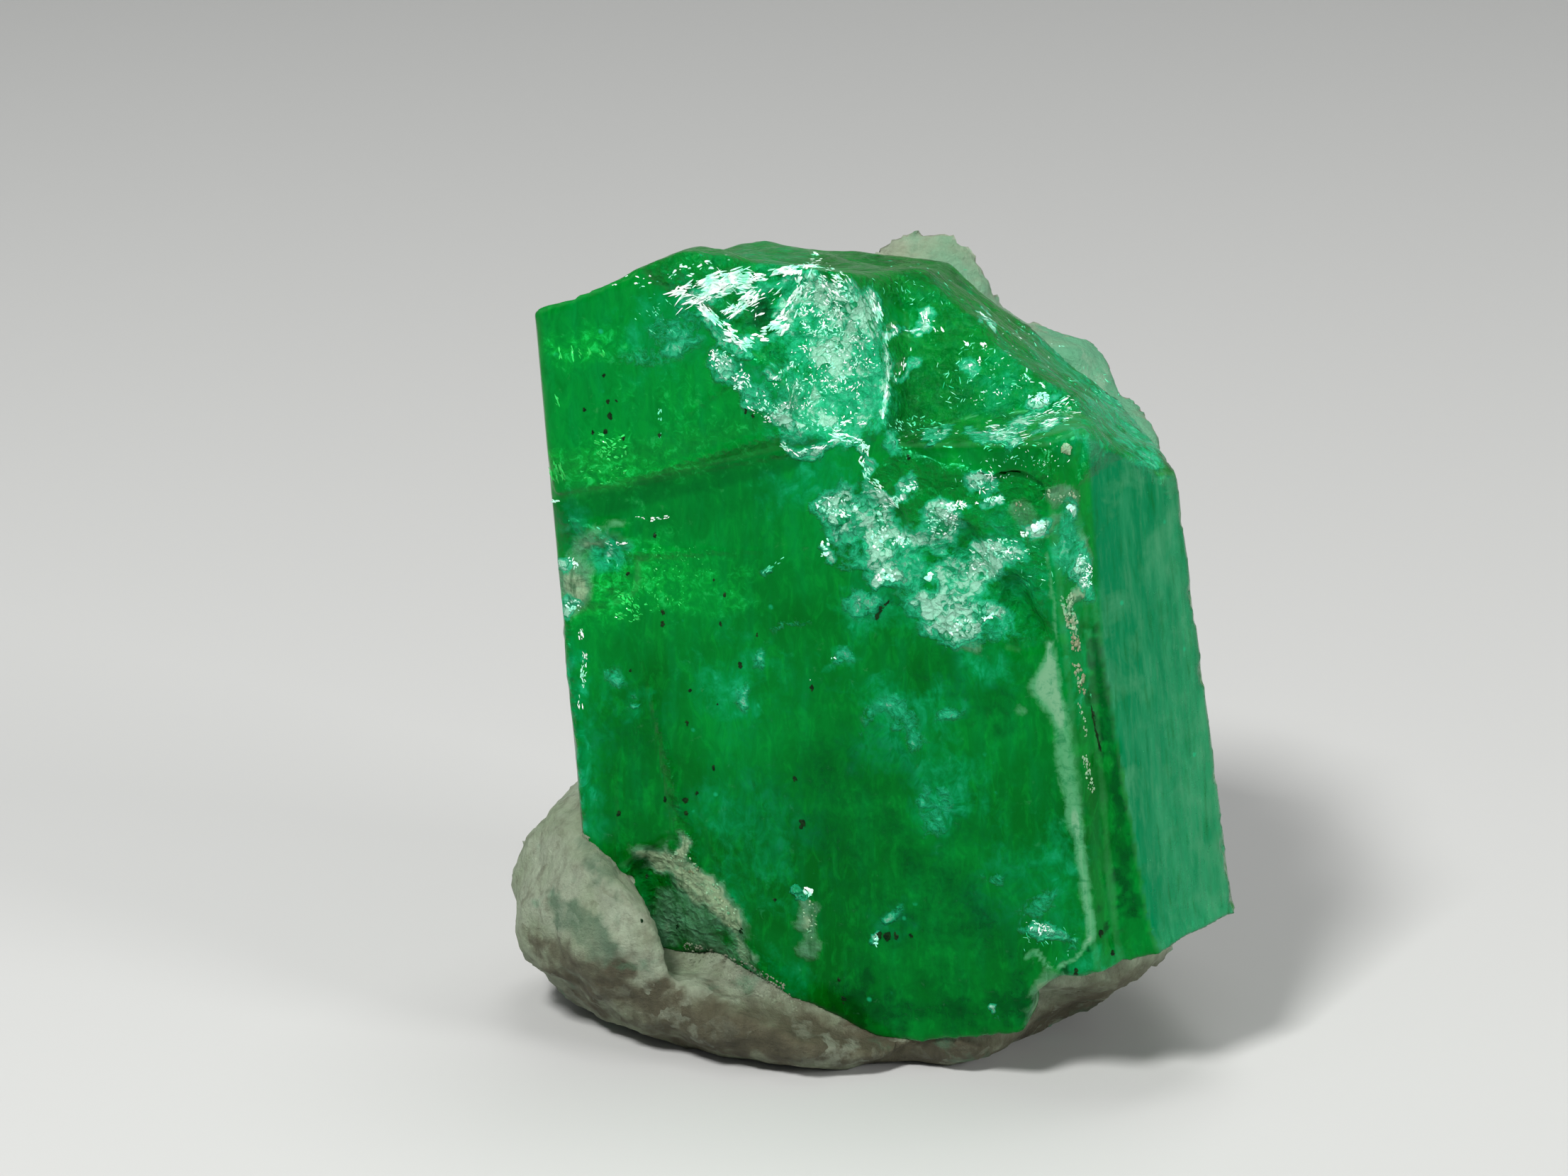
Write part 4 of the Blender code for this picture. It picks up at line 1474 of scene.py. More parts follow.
    def paint_masks(self, piece: bpy.types.Object, near: np.ndarray) -> None:
        """Paints what the material reads.

        Args:
            piece: A mesh object, in millimetres.
            near: How far each corner is from the edges between the large faces.
        """
        marks = CRYSTAL_MARKS
        points = corners(piece)
        hidden = far_side(piece)
        paint(piece, Layer.EDGE, 1.0 - smooth_step(0.02, 0.14, near))
        paint(piece, Layer.WORN, marked(piece, marks.worn, 0.03))
        paint(piece, Layer.GLOW, marked(piece, marks.glow, 0.3))
        paint(piece, Layer.STAIN_AND_SHADE, marked(piece, marks.stain_and_shade, 0.3))
        veils = hidden * smooth_step(0.0, 0.5, fractal(points, 1.6, 5, 20.0))
        paint(piece, Layer.CLOUD, np.maximum(marked(piece, marks.cloud, 0.3), veils))
        turn = math.radians(self.side_azimuth)
        across = normals(piece) @ np.array((math.sin(turn), -math.cos(turn), 0.0))
        seen = PICTURE.pixels(points)
        right = smooth_step(0.0, 8.0, seen[:, 0] - np.interp(seen[:, 1], *self.side_start))
        ramp = 0.3 + 0.7 * smooth_step(3.6, 5.9, points[:, 0])
        upright = 1.0 - smooth_step(0.2, 0.5, np.abs(normals(piece)[:, 2]))
        side = smooth_step(0.85, 0.95, across) * right * ramp
        paint(piece, Layer.STRIAE, np.maximum(side, hidden * upright * self.hidden_striae))
        # Painted shadow under the ledge.
        paint(piece, Layer.SHADE, marked(piece, marks.shade, 0.03))


@dataclass(frozen=True)
class Fitting:
    """How the crystal's surface is drawn to where the photograph shows it, in millimetres.

    A plane is its outward direction and how far it lies from the origin.
    """

    left: tuple[Triple, float] = ((-0.98, -0.17, -0.07), 4.507)
    front: tuple[Triple, float] = ((-0.34, -0.94, -0.04), 2.724)
    left_back: float = 0.1
    left_lean: float = 0.13
    left_reach: float = 1.2
    hollow: Marks = (
        Mark((1385.0, 690.0), (1.35, 0.45), 0.0, 1.0, 0.3),
        Mark((1446.0, 668.0), (0.62, 0.42), 15.0, 1.0, 0.3),
    )
    hollow_depth: float = 1.0
    hollow_fill: float = 0.75
    ledge: Stroke = Stroke(((770.0, 708.0), (900.0, 679.0), (1117.0, 630.0)), 0.42, 1.0, 0.9, 0.0)
    ledge_height: float = 0.4
    ledge_fall: float = 0.55
    chip: Marks = (Mark((948.0, 1296.0), (0.62, 0.42), 14.0, 1.0, 0.9),)
    chip_drop: float = 0.42
    brim: Marks = (Mark((948.0, 1322.0), (0.66, 0.5), 10.0, 1.0, 0.9),)
    brim_drop: float = 0.34
    heel_lift: float = 0.5
    heel_tilt: float = 0.4
    heel_start: Pair = (2.4, 3.2)
    tilt_start: Pair = (3.4, 5.4)
    heel_fade: Pair = (1.2, 3.4)
    rock_rise: Pair = (-0.8, 1.1)
    rock_fade: Pair = (2.0, 4.2)

    def fit(self, piece: bpy.types.Object) -> None:
        """Moves the crystal's corners.

        Args:
            piece: The crystal, in millimetres.
        """
        points = corners(piece)
        inward = self.left[1] - points @ np.array(self.left[0])
        ahead = np.maximum(self.left_back - points[:, 1], 0.0)
        points[:, 0] -= ahead * self.left_lean * (1.0 - smooth_step(0.0, self.left_reach, inward))
        out = np.array(self.front[0])
        height = points @ out - self.front[1]
        sunk = np.clip(-height, 0.0, self.hollow_depth) * marked(piece, self.hollow, 0.0)
        proud = np.clip(height, 0.0, self.ledge_height) * marked(piece, (self.ledge,), 0.0)
        points += out * (sunk * self.hollow_fill - proud * self.ledge_fall)[:, None]
        points[:, 2] += self.heel(points) * (1.0 - smooth_step(*self.heel_fade, points[:, 2]))
        points[:, 2] -= marked(piece, self.chip, 0.0) * self.chip_drop
        move_corners(piece, points)

    def heel(self, points: np.ndarray) -> np.ndarray:
        """How far up the lower right of the stone lies, above where its solid has it."""
        lift = smooth_step(*self.heel_start, points[:, 0]) * self.heel_lift
        return lift + smooth_step(*self.tilt_start, points[:, 0]) * self.heel_tilt

    def fit_rock(self, piece: bpy.types.Object) -> None:
        """Moves the corners of the rock below the heel with it.

        Args:
            piece: The rock, in millimetres.
        """
        points = corners(piece)
        above = smooth_step(*self.rock_rise, points[:, 2])
        below = 1.0 - smooth_step(*self.rock_fade, points[:, 2])
        points[:, 2] += self.heel(points) * (above * below)
        points[:, 2] -= marked(piece, self.brim, 0.0) * self.brim_drop
        move_corners(piece, points)


@dataclass(frozen=True)
class RockMarks:
    """Where the photograph shows marks on the matrix, as read off it."""

    # Brown staining along the foot, with painted shade on the lump's lower, shadowed side.
    stain_and_shade: Marks = strokes(
        (((755, 1325), (800, 1362), (860, 1390), (940, 1410)), 0.3, 0.8, 0.7),
        (((860, 1400), (940, 1432), (1040, 1450), (1240, 1470)), 0.5, 0.9, 0.7),
    ) + patches(
        (1033, 1463, 0.6, 0.25, 8), (1117, 1460, 0.5, 0.2, 5), (860, 1393, 0.35, 0.25, 30),
        (1560, 1420, 1.4, 0.5, -20, 0.9, 0.7), (1300, 1480, 1.4, 0.3, -5, 0.9, 0.7),
    )
    # Painted green light and shade cast by the crystal on the lump below it.
    cloud: Marks = patches(
        (813, 1293, 0.38, 0.3, 30, 1, 0.6), (840, 1330, 0.3, 0.4, -30, 0.8, 0.6),
        (845, 1223, 0.25, 0.5, -20, 0.8, 0.6),
    )
    glow: Marks = patches(
        (1380, 370, 1.2, 0.9, 0, 0.6, 0.6), (1560, 520, 1.1, 1.6, -35, 1, 0.6),
        (1640, 700, 0.9, 2, -12, 1, 0.6),
    )


ROCK_MARKS = RockMarks()


@dataclass
class Rock:
    """The calcite matrix that the crystal grew in."""

    node: bpy.types.Object
    crystal: bpy.types.Object
    cell: float = 0.09
    lump: float = 0.7
    lump_height: float = 0.06
    grain: float = 0.2
    grain_height: float = 0.03
    rim: float = 0.4
    cleavage: tuple[Triple, ...] = ((0.62, 0.3, 0.72), (-0.7, 0.45, 0.55))
    step: float = 0.9
    step_height: float = 0.1
    touch: float = 0.12
    pull: float = 1.15
    hidden_stain: float = 0.5
    hidden_moss: float = 0.8

    def build(self) -> bpy.types.Object:
        """Makes the piece and gives it its masks and material.

        Returns:
            The piece, in metres.
        """
        piece = finer_copy(self.node, "calcite_matrix")
        rebuild(piece, self.cell)
        Fitting().fit_rock(piece)
        rebuild(piece, self.cell)
        hidden = far_side(piece)
        self.roughen(piece, hidden)
        self.close_in(piece)
        points = corners(piece)
        stains = hidden * smooth_step(0.1, 0.6, fractal(points, 1.8, 4, 11.0)) * self.hidden_stain
        paint(piece, Layer.STAIN_AND_SHADE, np.maximum(marked(piece, ROCK_MARKS.stain_and_shade, 0.3), stains))
        paint(piece, Layer.CLOUD, marked(piece, ROCK_MARKS.cloud, 0.3))
        moss = hidden * smooth_step(0.35, 0.7, fractal(points, 1.2, 4, 12.0)) * self.hidden_moss
        paint(piece, Layer.GLOW, np.maximum(marked(piece, ROCK_MARKS.glow, 0.3), moss))
        paint(piece, Layer.FROST_AND_GLINTS, hidden * smooth_step(-0.1, 0.5, fractal(points, 1.5, 4, 13.0)))
        piece.data.materials.append(RockFinish().build())
        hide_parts(self.node.name)
        finish_piece(piece, SMOOTH_ANGLE)
        return piece

    def close_in(self, piece: bpy.types.Object) -> None:
        """Draws the rock beside the crystal against it, so that no gap shows between them.

        Args:
            piece: The rock, in millimetres.
        """
        places = [tuple(vert.co / MM) for vert in self.crystal.data.vertices]
        sides = [tuple(face.vertices) for face in self.crystal.data.polygons]
        tree = BVHTree.FromPolygons(places, sides)
        points = corners(piece)
        for index, point in enumerate(points):
            nearest, _, _, gap = tree.find_nearest(Vector(point), self.rim)
            if nearest is not None:
                loose = float(smooth_step(self.touch, self.rim, np.array(gap)))
                points[index] += (np.array(nearest) - point) * (self.pull * (1.0 - loose))
        move_corners(piece, points)

    def roughen(self, piece: bpy.types.Object, hidden: np.ndarray) -> None:
        """Gives the rock its lumps and grain, and its far side steps where it cleaved.

        Args:
            piece: The rock, in millimetres. Its flat underside is left alone.
            hidden: How far each corner is on the side that the photograph doesn't see.
        """
        points = corners(piece)
        lifted = smooth_step(0.0, 0.4, points[:, 2])
        height = fractal(points, self.lump, 4, 1.0) * self.lump_height
        height += fractal(points, self.grain, 3, 2.0) * self.grain_height
        for axis in self.cleavage:
            along = points @ np.array(axis) / self.step + fractal(points, 1.3, 3, 21.0) * 0.9
            height += hidden * (along - np.floor(along) - 0.5) * self.step_height
        move_corners(piece, points + normals(piece) * (height * lifted)[:, None])


@dataclass(frozen=True)
class Shower:
    """Flakes that lie in a mark: how many there are, their half length, and how slim they are."""

    where: Mark | Stroke
    count: int
    length: float = 0.05
    slim: float = 0.5


def showers(*rows: tuple) -> tuple[Shower, ...]:
    """Showers from rows of a count, a half length, a slimness, and where they lie.

    A patch has its column, row, half width and half height there, and maybe its turn. A stroke has
    its path and its half width.

    Args:
        *rows: The rows.

    Returns:
        The showers.
    """
    made = []
    for count, length, slim, *where in rows:
        mark = strokes(where) if isinstance(where[0], tuple) else patches(tuple(where))
        made.append(Shower(mark[0], count, length, slim))
    return tuple(made)


# White splinters on the broken faces, with painted reflections and glints: the white arcs in the scooped
# hollow and the rows of small glints.
SHOWERS = showers(
    (300, 0.17, 0.09, ((956, 424), (990, 406), (1024, 396), (1058, 393)), 0.19),
    (160, 0.12, 0.2, ((990, 404), (1024, 394), (1058, 392)), 0.1),
    (80, 0.14, 0.1, ((970, 426), (1010, 415), (1046, 408)), 0.06),
    (170, 0.1, 0.18, ((1050, 396), (1090, 386), (1120, 380), (1146, 376)), 0.07),
    (110, 0.13, 0.12, ((1026, 442), (1050, 426), (1072, 409)), 0.09),
    (30, 0.1, 0.1, ((1060, 434), (1080, 420), (1100, 404)), 0.07),
    (14, 0.1, 0.1, ((1064, 446), (1084, 434), (1106, 414)), 0.05),
    (130, 0.1, 0.16, ((980, 426), (1004, 446), (1022, 462), (1052, 487)), 0.07),
    (170, 0.09, 0.2, ((1026, 472), (1060, 480), (1086, 470), (1110, 456)), 0.1),
    (240, 0.08, 0.22, ((1084, 468), (1110, 448), (1126, 420), (1140, 376)), 0.12),
    (200, 0.05, 0.3, ((1138, 366), (1158, 384), (1194, 406)), 0.18),
    (60, 0.07, 0.2, ((1222, 412), (1236, 432), (1242, 452)), 0.07),
    (420, 0.035, 0.3, 1165, 430, 0.5, 0.55), (480, 0.03, 0.3, 1180, 500, 0.75, 0.65),
    (240, 0.03, 0.3, 1160, 570, 0.65, 0.5), (110, 0.03, 0.3, 1110, 560, 0.4, 0.4),
    (180, 0.035, 0.35, 1030, 522, 0.46, 0.22, 48), (110, 0.03, 0.35, 1078, 576, 0.36, 0.2, 40),
    (24, 0.06, 0.2, ((1092, 532), (1106, 524), (1120, 510)), 0.03),
    (110, 0.06, 0.2, ((1100, 618), (1112, 636), (1126, 642), (1176, 622)), 0.06),
    (110, 0.06, 0.2, ((1172, 610), (1200, 620), (1222, 628), (1216, 652)), 0.06),
    (40, 0.05, 0.2, ((1176, 606), (1196, 594), (1226, 598)), 0.02),
    (60, 0.05, 0.3, ((1218, 650), (1224, 670), (1246, 694)), 0.06),
    (70, 0.09, 0.12, ((1250, 470), (1253, 530), (1245, 590)), 0.02),
    (70, 0.04, 0.35, ((862, 396), (910, 394), (964, 382), (1030, 368)), 0.12),
    (50, 0.045, 0.25, ((1302, 440), (1306, 456), (1320, 458), (1325, 468)), 0.06),
    (22, 0.045, 0.25, ((1256, 458), (1266, 466), (1257, 474)), 0.02),
    (12, 0.05, 0.2, ((1278, 467), (1298, 465)), 0.015), (7, 0.04, 0.4, 1363, 485, 0.05, 0.03, 30),
    (7, 0.04, 0.5, 1388, 487, 0.05, 0.04), (9, 0.035, 0.4, 1366, 517, 0.06, 0.06),
    (5, 0.035, 0.4, 1382, 510, 0.02, 0.07),
    (36, 0.05, 0.2, ((1261, 535), (1276, 512), (1286, 489)), 0.04),
    (18, 0.06, 0.15, ((1383, 440), (1392, 452), (1406, 466)), 0.012),
    (20, 0.05, 0.2, ((1446, 524), (1450, 534), (1474, 546)), 0.03),
    (60, 0.045, 0.35, 1466, 561, 0.18, 0.1),
    (160, 0.07, 0.13, ((1392, 602), (1434, 613), (1466, 598), (1519, 577)), 0.12),
    (60, 0.07, 0.13, ((1450, 600), (1480, 582), (1512, 560)), 0.1),
    (130, 0.025, 0.25, 1430, 520, 0.9, 0.6, -40), (50, 0.03, 0.3, 1310, 615, 0.6, 0.1, -8),
    (7, 0.035, 0.6, 1498, 491, 0.05, 0.05), (110, 0.05, 0.16, 1387, 680, 0.26, 0.18),
    (70, 0.05, 0.25, 1258, 709, 0.22, 0.08, -15), (120, 0.04, 0.3, 1340, 714, 0.3, 0.07, -6),
    (60, 0.04, 0.25, 1396, 706, 0.26, 0.05, -10), (40, 0.035, 0.35, 1282, 686, 0.16, 0.1),
    (34, 0.045, 0.6, 1466, 742, 0.11, 0.06, -20), (14, 0.04, 0.5, 1445, 753, 0.08, 0.04, -10),
    (130, 0.03, 0.35, 1420, 774, 0.4, 0.16, 10), (16, 0.045, 0.6, 1512, 716, 0.07, 0.06),
    (110, 0.03, 0.35, 1530, 806, 0.13, 0.3, -10), (12, 0.045, 0.7, 1311, 814, 0.05, 0.06),
    (110, 0.035, 0.4, 1180, 715, 0.36, 0.16, 10), (30, 0.04, 0.6, 1164, 775, 0.08, 0.2),
    (70, 0.035, 0.45, 1243, 750, 0.16, 0.36), (40, 0.04, 0.6, 1250, 812, 0.2, 0.1),
    (120, 0.03, 0.4, 1330, 735, 0.28, 0.24), (36, 0.04, 0.5, 1272, 765, 0.16, 0.1),
    (110, 0.03, 0.4, 1385, 795, 0.3, 0.3, 20), (28, 0.04, 0.5, 1389, 868, 0.16, 0.06, -10),
    (50, 0.03, 0.5, 1355, 885, 0.26, 0.16), (80, 0.025, 0.25, 1440, 650, 0.8, 0.4),
    (50, 0.035, 0.35, 805, 795, 0.12, 0.12), (44, 0.035, 0.35, 809, 856, 0.14, 0.12, -40),
    (24, 0.035, 0.35, ((856, 766), (870, 768), (886, 764)), 0.03),
    (26, 0.035, 0.3, ((897, 731), (918, 733), (936, 731), (948, 727)), 0.03),
    (14, 0.04, 0.4, ((773, 707), (790, 704)), 0.03),
    (150, 0.04, 0.2, ((818, 887), (825, 923), (821, 974), (819, 999)), 0.045),
    (50, 0.04, 0.4, 1138, 1257, 0.13, 0.06, 35), (16, 0.04, 0.3, 1236, 1330, 0.03, 0.1, 20),
    (7, 0.04, 0.3, 1398, 1430, 0.05, 0.02, 30), (50, 0.035, 0.25, 1468, 1310, 0.3, 0.1, 20),
    (6, 0.03, 0.4, 1176, 928, 0.05, 0.02), (8, 0.03, 0.3, 1145, 960, 0.05, 0.02, 20),
)
# Painted glints, as bright green chips.
GLINTS = showers(
    (6, 0.12, 0.14, ((778, 662), (780, 676)), 0.01), (7, 0.13, 0.14, ((784, 656), (786, 676)), 0.01),
    (7, 0.12, 0.14, ((791, 655), (793, 674)), 0.01), (4, 0.07, 0.2, ((790, 492), (791, 504)), 0.02),
    (5, 0.08, 0.2, ((806, 492), (807, 506)), 0.02), (4, 0.07, 0.2, ((818, 490), (819, 504)), 0.02),
    (4, 0.07, 0.2, ((830, 492), (832, 508)), 0.02), (8, 0.06, 0.25, ((845, 488), (852, 502)), 0.03),
    (5, 0.08, 0.15, ((786, 556), (788, 580)), 0.02),
    (34, 0.045, 0.3, ((840, 616), (860, 628), (882, 622)), 0.1), (24, 0.04, 0.35, 862, 640, 0.26, 0.12),
    (22, 0.035, 0.3, 850, 668, 0.4, 0.2), (34, 0.045, 0.35, ((866, 838), (884, 846), (900, 866)), 0.09),
    (24, 0.04, 0.35, ((868, 866), (890, 874), (906, 868)), 0.06), (46, 0.03, 0.3, 926, 838, 0.5, 0.3),
    (40, 0.025, 0.3, 960, 790, 0.6, 0.3),
)
# Painted glints, as teal chips.
TEAL_GLINTS = showers(
    (16, 0.05, 0.2, ((1072, 812), (1090, 798), (1106, 786)), 0.03),
    (14, 0.03, 0.4, ((932, 556), (931, 620)), 0.04), (70, 0.045, 0.25, 1290, 600, 0.5, 0.14),
    (170, 0.06, 0.1, 1390, 520, 1, 0.7, -40), (120, 0.05, 0.12, 1540, 560, 0.5, 0.5),
    (120, 0.06, 0.12, 1450, 600, 0.9, 0.3, -20), (70, 0.05, 0.12, 1400, 660, 0.9, 0.3),
    (50, 0.04, 0.14, 1470, 790, 0.4, 0.6), (50, 0.04, 0.2, ((950, 410), (900, 425), (960, 470)), 0.3),
    (90, 0.06, 0.1, 1300, 400, 0.9, 0.4), (30, 0.035, 0.25, 860, 775, 0.4, 0.4),
    (34, 0.05, 0.12, 1480, 1330, 0.5, 0.3),
)
CREST = showers(
    (600, 0.024, 0.8, ((960, 1344), (1010, 1358), (1056, 1378), (1100, 1404)), 0.2),
    (260, 0.022, 0.8, ((1040, 1368), (1090, 1396), (1130, 1420)), 0.1),
)


@dataclass(frozen=True)
class Speck:
    """A dark grain: its pixel, and its radius in millimetres."""

    at: Pair
    radius: float
    pieces: int = 6

    def shower(self) -> Shower:
        """The small chips that it is made of."""
        spot = Mark(self.at, (self.radius * 0.4, self.radius * 0.75))
        return Shower(spot, self.pieces, self.radius * 0.6, 0.75)


SPECKS = tuple(
    Speck((column, row), radius).shower()
    for column, row, radius in (
        (873, 1148, 0.06), (968, 1130, 0.07), (968, 1148, 0.06), (983, 1119, 0.04),
        (938, 1128, 0.05), (1132, 1162, 0.09), (1121, 1100, 0.06), (1007, 1083, 0.05),
        (1145, 971, 0.06), (1044, 938, 0.055), (974, 974, 0.05), (969, 1020, 0.055),
        (1012, 993, 0.035), (935, 880, 0.05), (935, 864, 0.04), (1017, 880, 0.04),
        (1068, 896, 0.04), (886, 810, 0.045), (924, 754, 0.05), (1023, 840, 0.045),
        (1007, 818, 0.03), (858, 566, 0.05), (860, 586, 0.06), (852, 530, 0.04),
        (824, 578, 0.04), (854, 610, 0.05), (836, 610, 0.04), (880, 618, 0.045),
        (870, 565, 0.03), (930, 614, 0.04), (1052, 580, 0.05), (1062, 586, 0.04),
        (1282, 645, 0.05), (1237, 869, 0.06), (1243, 858, 0.04), (1240, 1320, 0.07),
        (1252, 1321, 0.08), (1264, 1321, 0.07), (1286, 1321, 0.05), (1553, 1318, 0.08),
        (1570, 1344, 0.05), (1517, 1370, 0.07), (1046, 1312, 0.06), (913, 1236, 0.04),
        (1093, 1270, 0.045), (889, 946, 0.035), (1190, 1412, 0.08), (1183, 1380, 0.05),
        (905, 1300, 0.04), (955, 1306, 0.05),
    )
) + showers(
    (46, 0.07, 0.14, ((1540, 1000), (1546, 1030), (1553, 1060)), 0.008),
    (16, 0.05, 0.3, ((1236, 870), (1246, 856), (1256, 846)), 0.02),
)
CRUMBS = showers(
    (70, 0.035, 0.6, ((1502, 838), (1508, 856), (1512, 880)), 0.1),
    (60, 0.035, 0.6, ((1508, 870), (1514, 892), (1520, 918)), 0.07),
    (50, 0.032, 0.6, ((1516, 936), (1524, 956), (1528, 978)), 0.06),
    (20, 0.024, 0.6, ((1522, 990), (1530, 1020), (1532, 1040)), 0.03),
    (44, 0.03, 0.6, ((1530, 1066), (1536, 1090), (1540, 1118)), 0.05),
    (26, 0.05, 0.8, 1505, 633, 0.06, 0.07), (26, 0.03, 0.6, 1498, 698, 0.3, 0.12),
    (24, 0.03, 0.6, 963, 1216, 0.3, 0.14, 30),
    (34, 0.03, 0.6, ((1000, 1250), (1030, 1285), (1044, 1316)), 0.12),
    (10, 0.025, 0.6, 1440, 724, 0.16, 0.2, -20), (22, 0.025, 0.6, 1142, 1300, 0.12, 0.4, -4),
)


@dataclass
class Scatter:
    """Small grains that lie where the photograph shows them on the stone, as one piece."""

    name: str
    showers: tuple[Shower, ...]
    finish: bpy.types.Material
    slot: str
    tilt: float = 0.4
    thick: float = 0.5
    jitter: float = 0.3
    cluster: float = 0.16
    crowding: Pair = (-0.4, 0.25)
    lengths: Pair = (0.4, 1.3)
    widths: Pair = (0.6, 1.5)

    def build(self, *carriers: bpy.types.Object) -> bpy.types.Object:
        """Makes the piece.

        Args:
            *carriers: What the grains lie on, in metres.

        Returns:
            The piece.
        """
        graph = bpy.context.evaluated_depsgraph_get()
        trees = [BVHTree.FromObject(carrier, graph) for carrier in carriers]
        rng = random.Random(SEED)
        bpy.ops.mesh.primitive_ico_sphere_add(subdivisions=1, radius=1.0)
        piece = bpy.context.active_object
        ball = corners(piece)
        sides = np.array([tuple(face.vertices) for face in piece.data.polygons])
        places = []
        for shower in self.showers:
            for _ in range(shower.count):
                pixel, heading = shower.where.pick(rng)
                ray = PICTURE.ray(pixel)
                hits = [tree.ray_cast(PICTURE.eye() * MM, ray) for tree in trees]
                found = min(hits, key=lambda hit: math.inf if hit[3] is None else hit[3])
                if found[0] is not None and self.gathers(rng, found[0] / MM):
                    places.append(self.grain(rng, shower, self.frame(rng, found, heading), ball))
        faces = [sides + index * len(ball) for index in range(len(places))]
        mesh = bpy.data.meshes.new(self.name)
        mesh.from_pydata(np.concatenate(places).tolist(), [], np.concatenate(faces).tolist())
        piece.data = mesh
        piece.name = self.name
        piece.data.materials.append(self.finish)
        finish_piece(piece, FACET_ANGLE)
        return piece

    def gathers(self, rng: random.Random, place: Vector) -> bool:
        """Whether a grain stays, so that grains lie in clusters with bare stone between."""
        return self.cluster == 0.0 or noise.noise(place / self.cluster) > rng.uniform(*self.crowding)

    def frame(self, rng: random.Random, found: tuple, heading: float) -> Matrix:
        """Where a grain lies: along a heading of the picture, on the surface, a little tilted.

        Args:
            rng: What draws the numbers.
            found: Where a ray met the surface: the place, and the way out, first.
            heading: The grain's heading in the picture, in radians clockwise.

        Returns:
            The grain's own frame, in millimetres.
        """
        right, up, _ = PICTURE.axes()
        shaken = Vector([rng.uniform(-self.tilt, self.tilt) for _ in range(3)])
        out = (found[1] + shaken).normalized()
        along = right * math.cos(heading) - up * math.sin(heading)
        along = (along - out * along.dot(out)).normalized()
        turned = Matrix((along, out.cross(along), out)).transposed().to_4x4()
        return Matrix.Translation(found[0] / MM) @ turned

    def grain(self, rng: random.Random, shower: Shower, frame: Matrix, ball: np.ndarray) -> np.ndarray:
        """The corners of one grain: a squeezed and shaken ball.

        Args:
            rng: What draws the numbers.
            shower: What the grain belongs to.
            frame: Where it lies.
            ball: The corners of a ball with a radius of 1.

        Returns:
            One row for each corner.
        """
        length = shower.length * rng.uniform(*self.lengths)
        width = length * shower.slim * rng.uniform(*self.widths)
        sizes = np.array((length, width, min(length, width) * self.thick))
        shaken = ball + [[rng.uniform(-self.jitter, self.jitter) for _ in range(3)] for _ in ball]
        turned = np.array(frame.to_3x3())
        return (shaken * sizes) @ turned.T + np.array(frame.translation)


@dataclass(frozen=True)
class Lamp:
    """A square lamp: its place and size in metres, and its power in watts."""

    name: str
    place: Triple
    power: float
    size: float


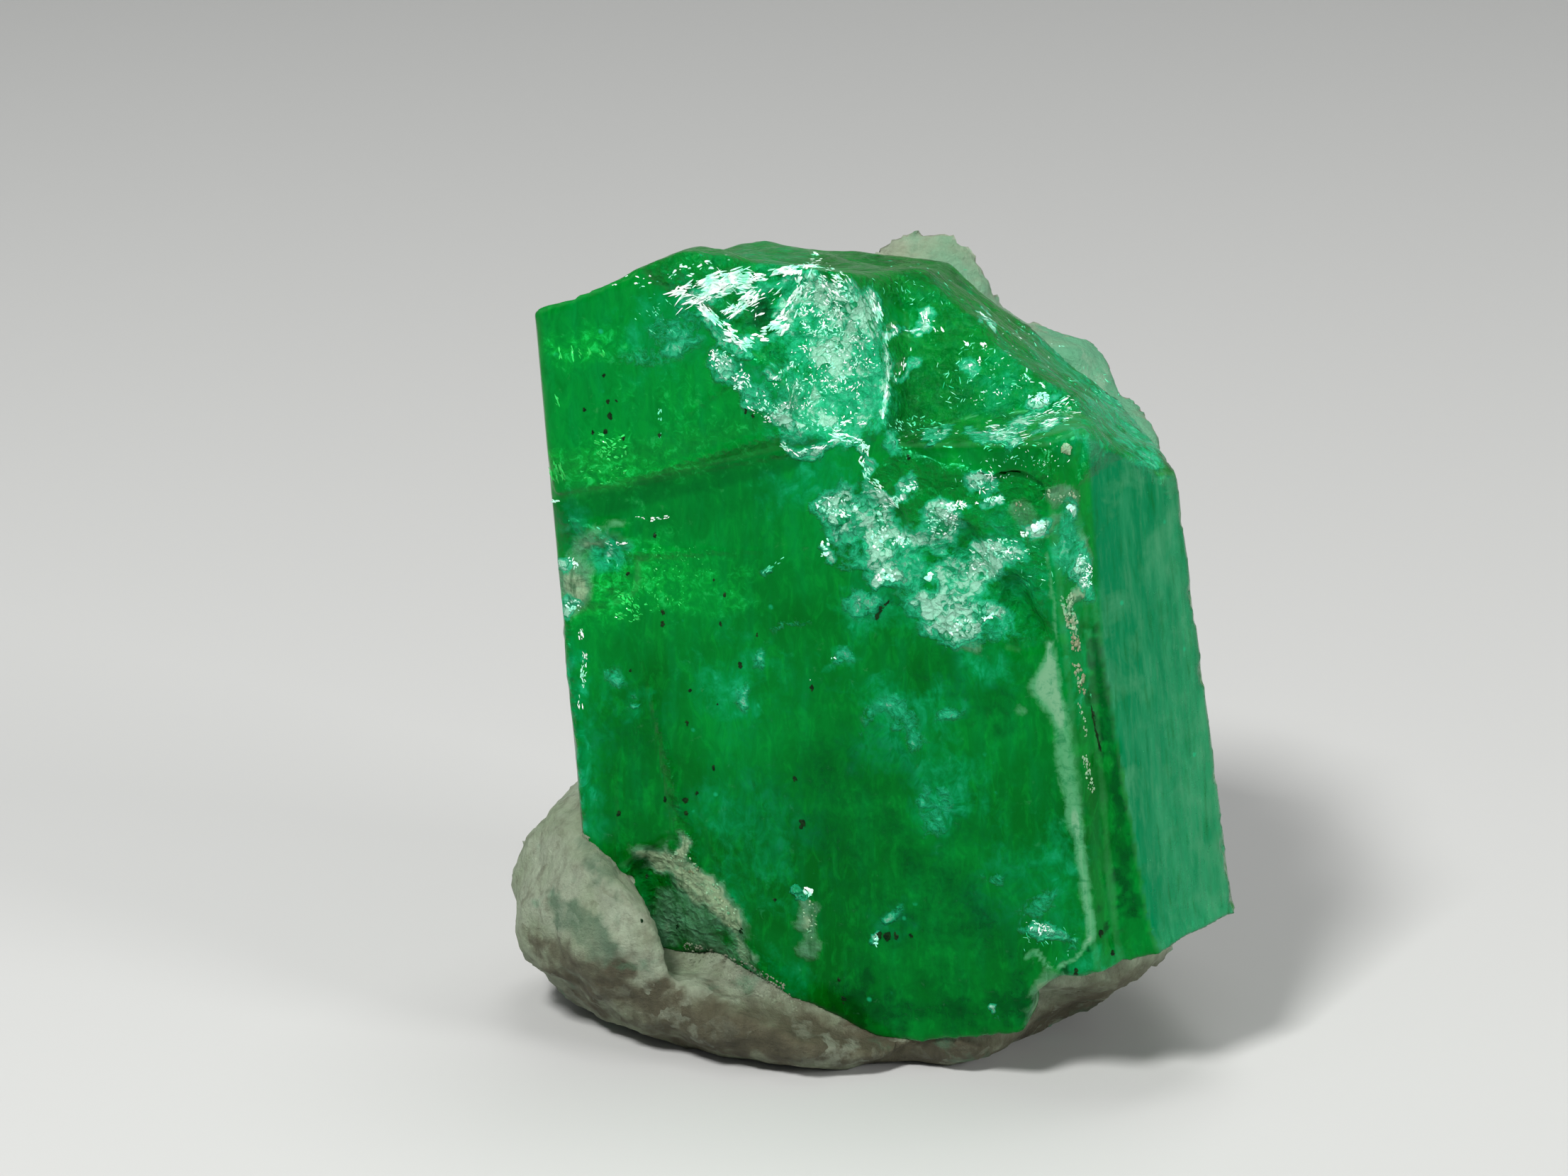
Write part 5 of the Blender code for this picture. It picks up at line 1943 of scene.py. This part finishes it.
@dataclass
class Studio:
    """The floor and backdrop, the lights, and the camera."""

    sweep_width: float = 0.6
    sweep_depth: float = 0.25
    sweep_height: float = 0.3
    bend: float = 0.12
    bend_steps: int = 16
    floor_colour: Triple = (0.5, 0.5, 0.485)
    floor_roughness: float = 0.7
    sky_colour: Triple = (0.9, 0.95, 1.0)
    sky_strength: float = 0.2
    nearest: float = 0.005
    lamps: tuple[Lamp, ...] = (
        Lamp("key", (-0.05, -0.09, 0.13), 0.29, 0.03),
        Lamp("fill", (0.13, -0.07, 0.06), 0.11, 0.05),
        Lamp("top", (0.02, 0.03, 0.18), 0.12, 0.08),
    )

    def build(self) -> None:
        """Makes everything that isn't the object."""
        self.lay_sweep()
        self.hang_lights()
        self.set_camera()

    def lay_sweep(self) -> None:
        """A pale floor that curves up behind the object."""
        bpy.ops.mesh.primitive_plane_add(size=1.0, location=(0.0, 0.0, 0.0))
        sweep = bpy.context.active_object
        sweep.name = "sweep"
        sweep.scale = (self.sweep_width, self.sweep_depth * 2.0, 1.0)
        bpy.ops.object.transform_apply(location=False, rotation=False, scale=True)
        in_edit_mode(sweep)
        bpy.ops.mesh.select_all(action="DESELECT")
        out_of_edit_mode()
        for edge in sweep.data.edges:
            ends = [sweep.data.vertices[index].co.y for index in edge.vertices]
            edge.select = min(ends) > 0.0
        bpy.ops.object.mode_set(mode="EDIT")
        bpy.ops.mesh.extrude_region_move(
            TRANSFORM_OT_translate={"value": (0.0, 0.0, self.sweep_height)}
        )
        out_of_edit_mode()
        for edge in sweep.data.edges:
            ends = [sweep.data.vertices[index].co for index in edge.vertices]
            edge.select = all(end.y > 0.0 and end.z < MM for end in ends)
        bpy.ops.object.mode_set(mode="EDIT")
        bpy.ops.mesh.bevel(offset=self.bend, segments=self.bend_steps)
        out_of_edit_mode()
        bpy.ops.object.shade_smooth()
        made, graph, shader = new_material("sweep")
        graph.put(self.floor_colour, shader.inputs["Base Color"])
        shader.inputs["Roughness"].default_value = self.floor_roughness
        sweep.data.materials.append(made)

    def hang_lights(self) -> None:
        """A key light above the left, a low fill on the right, and an even pale sky."""
        for lamp in self.lamps:
            data = bpy.data.lights.new(lamp.name, "AREA")
            data.energy = lamp.power
            data.size = lamp.size
            light = bpy.data.objects.new(lamp.name, data)
            light.location = lamp.place
            aim = Vector(PICTURE.target) * MM - light.location
            light.rotation_euler = aim.to_track_quat("-Z", "Y").to_euler()
            bpy.context.scene.collection.objects.link(light)
        world = bpy.data.worlds.new("sky")
        world.use_nodes = True
        sky = world.node_tree.nodes["Background"]
        sky.inputs["Color"].default_value = (*self.sky_colour, 1.0)
        sky.inputs["Strength"].default_value = self.sky_strength
        bpy.context.scene.world = world
        bpy.context.scene.view_settings.view_transform = "Standard"

    def set_camera(self) -> None:
        """A camera at the photograph's place."""
        data = bpy.data.cameras.new("camera")
        data.lens = PICTURE.lens
        data.sensor_width = PICTURE.sensor
        data.clip_start = self.nearest
        camera = bpy.data.objects.new("camera", data)
        camera.location = PICTURE.eye() * MM
        camera.rotation_euler = (-PICTURE.axes()[2]).to_track_quat("-Z", "Y").to_euler()
        bpy.context.scene.collection.objects.link(camera)
        bpy.context.scene.camera = camera


def main() -> None:
    """Builds the stone, the studio, and the table of sizes."""
    logging.basicConfig(level=logging.INFO, format="%(name)s: %(message)s")
    noise.seed_set(SEED)
    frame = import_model()
    deselect_all()
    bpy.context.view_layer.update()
    Studio().build()
    crystal = Crystal(frame["nodes"]["emerald_crystal"]).build()
    rock = Rock(frame["nodes"]["matrix"], crystal).build()
    for scatter in (
        Scatter("frost_and_glint_flakes", SHOWERS, FlakeFinish().build(), "emerald"),
        Scatter("green_glint_flakes", GLINTS, GREEN_GLINT_FLAKES.build(), "emerald", cluster=0.0),
        Scatter("teal_glint_flakes", TEAL_GLINTS, TEAL_GLINT_FLAKES.build(), "emerald"),
        Scatter("dark_specks", SPECKS, SpeckFinish().build(), "emerald", cluster=0.0),
        Scatter("calcite_crumbs", CRUMBS, CrumbFinish().build(), "calcite", thick=0.8, cluster=0.0),
        Scatter("crest_grains", CREST, rock.data.materials[0], "calcite", thick=0.8, cluster=0.1),
    ):
        scatter.build(rock, crystal)


if __name__ == "__main__":
    main()
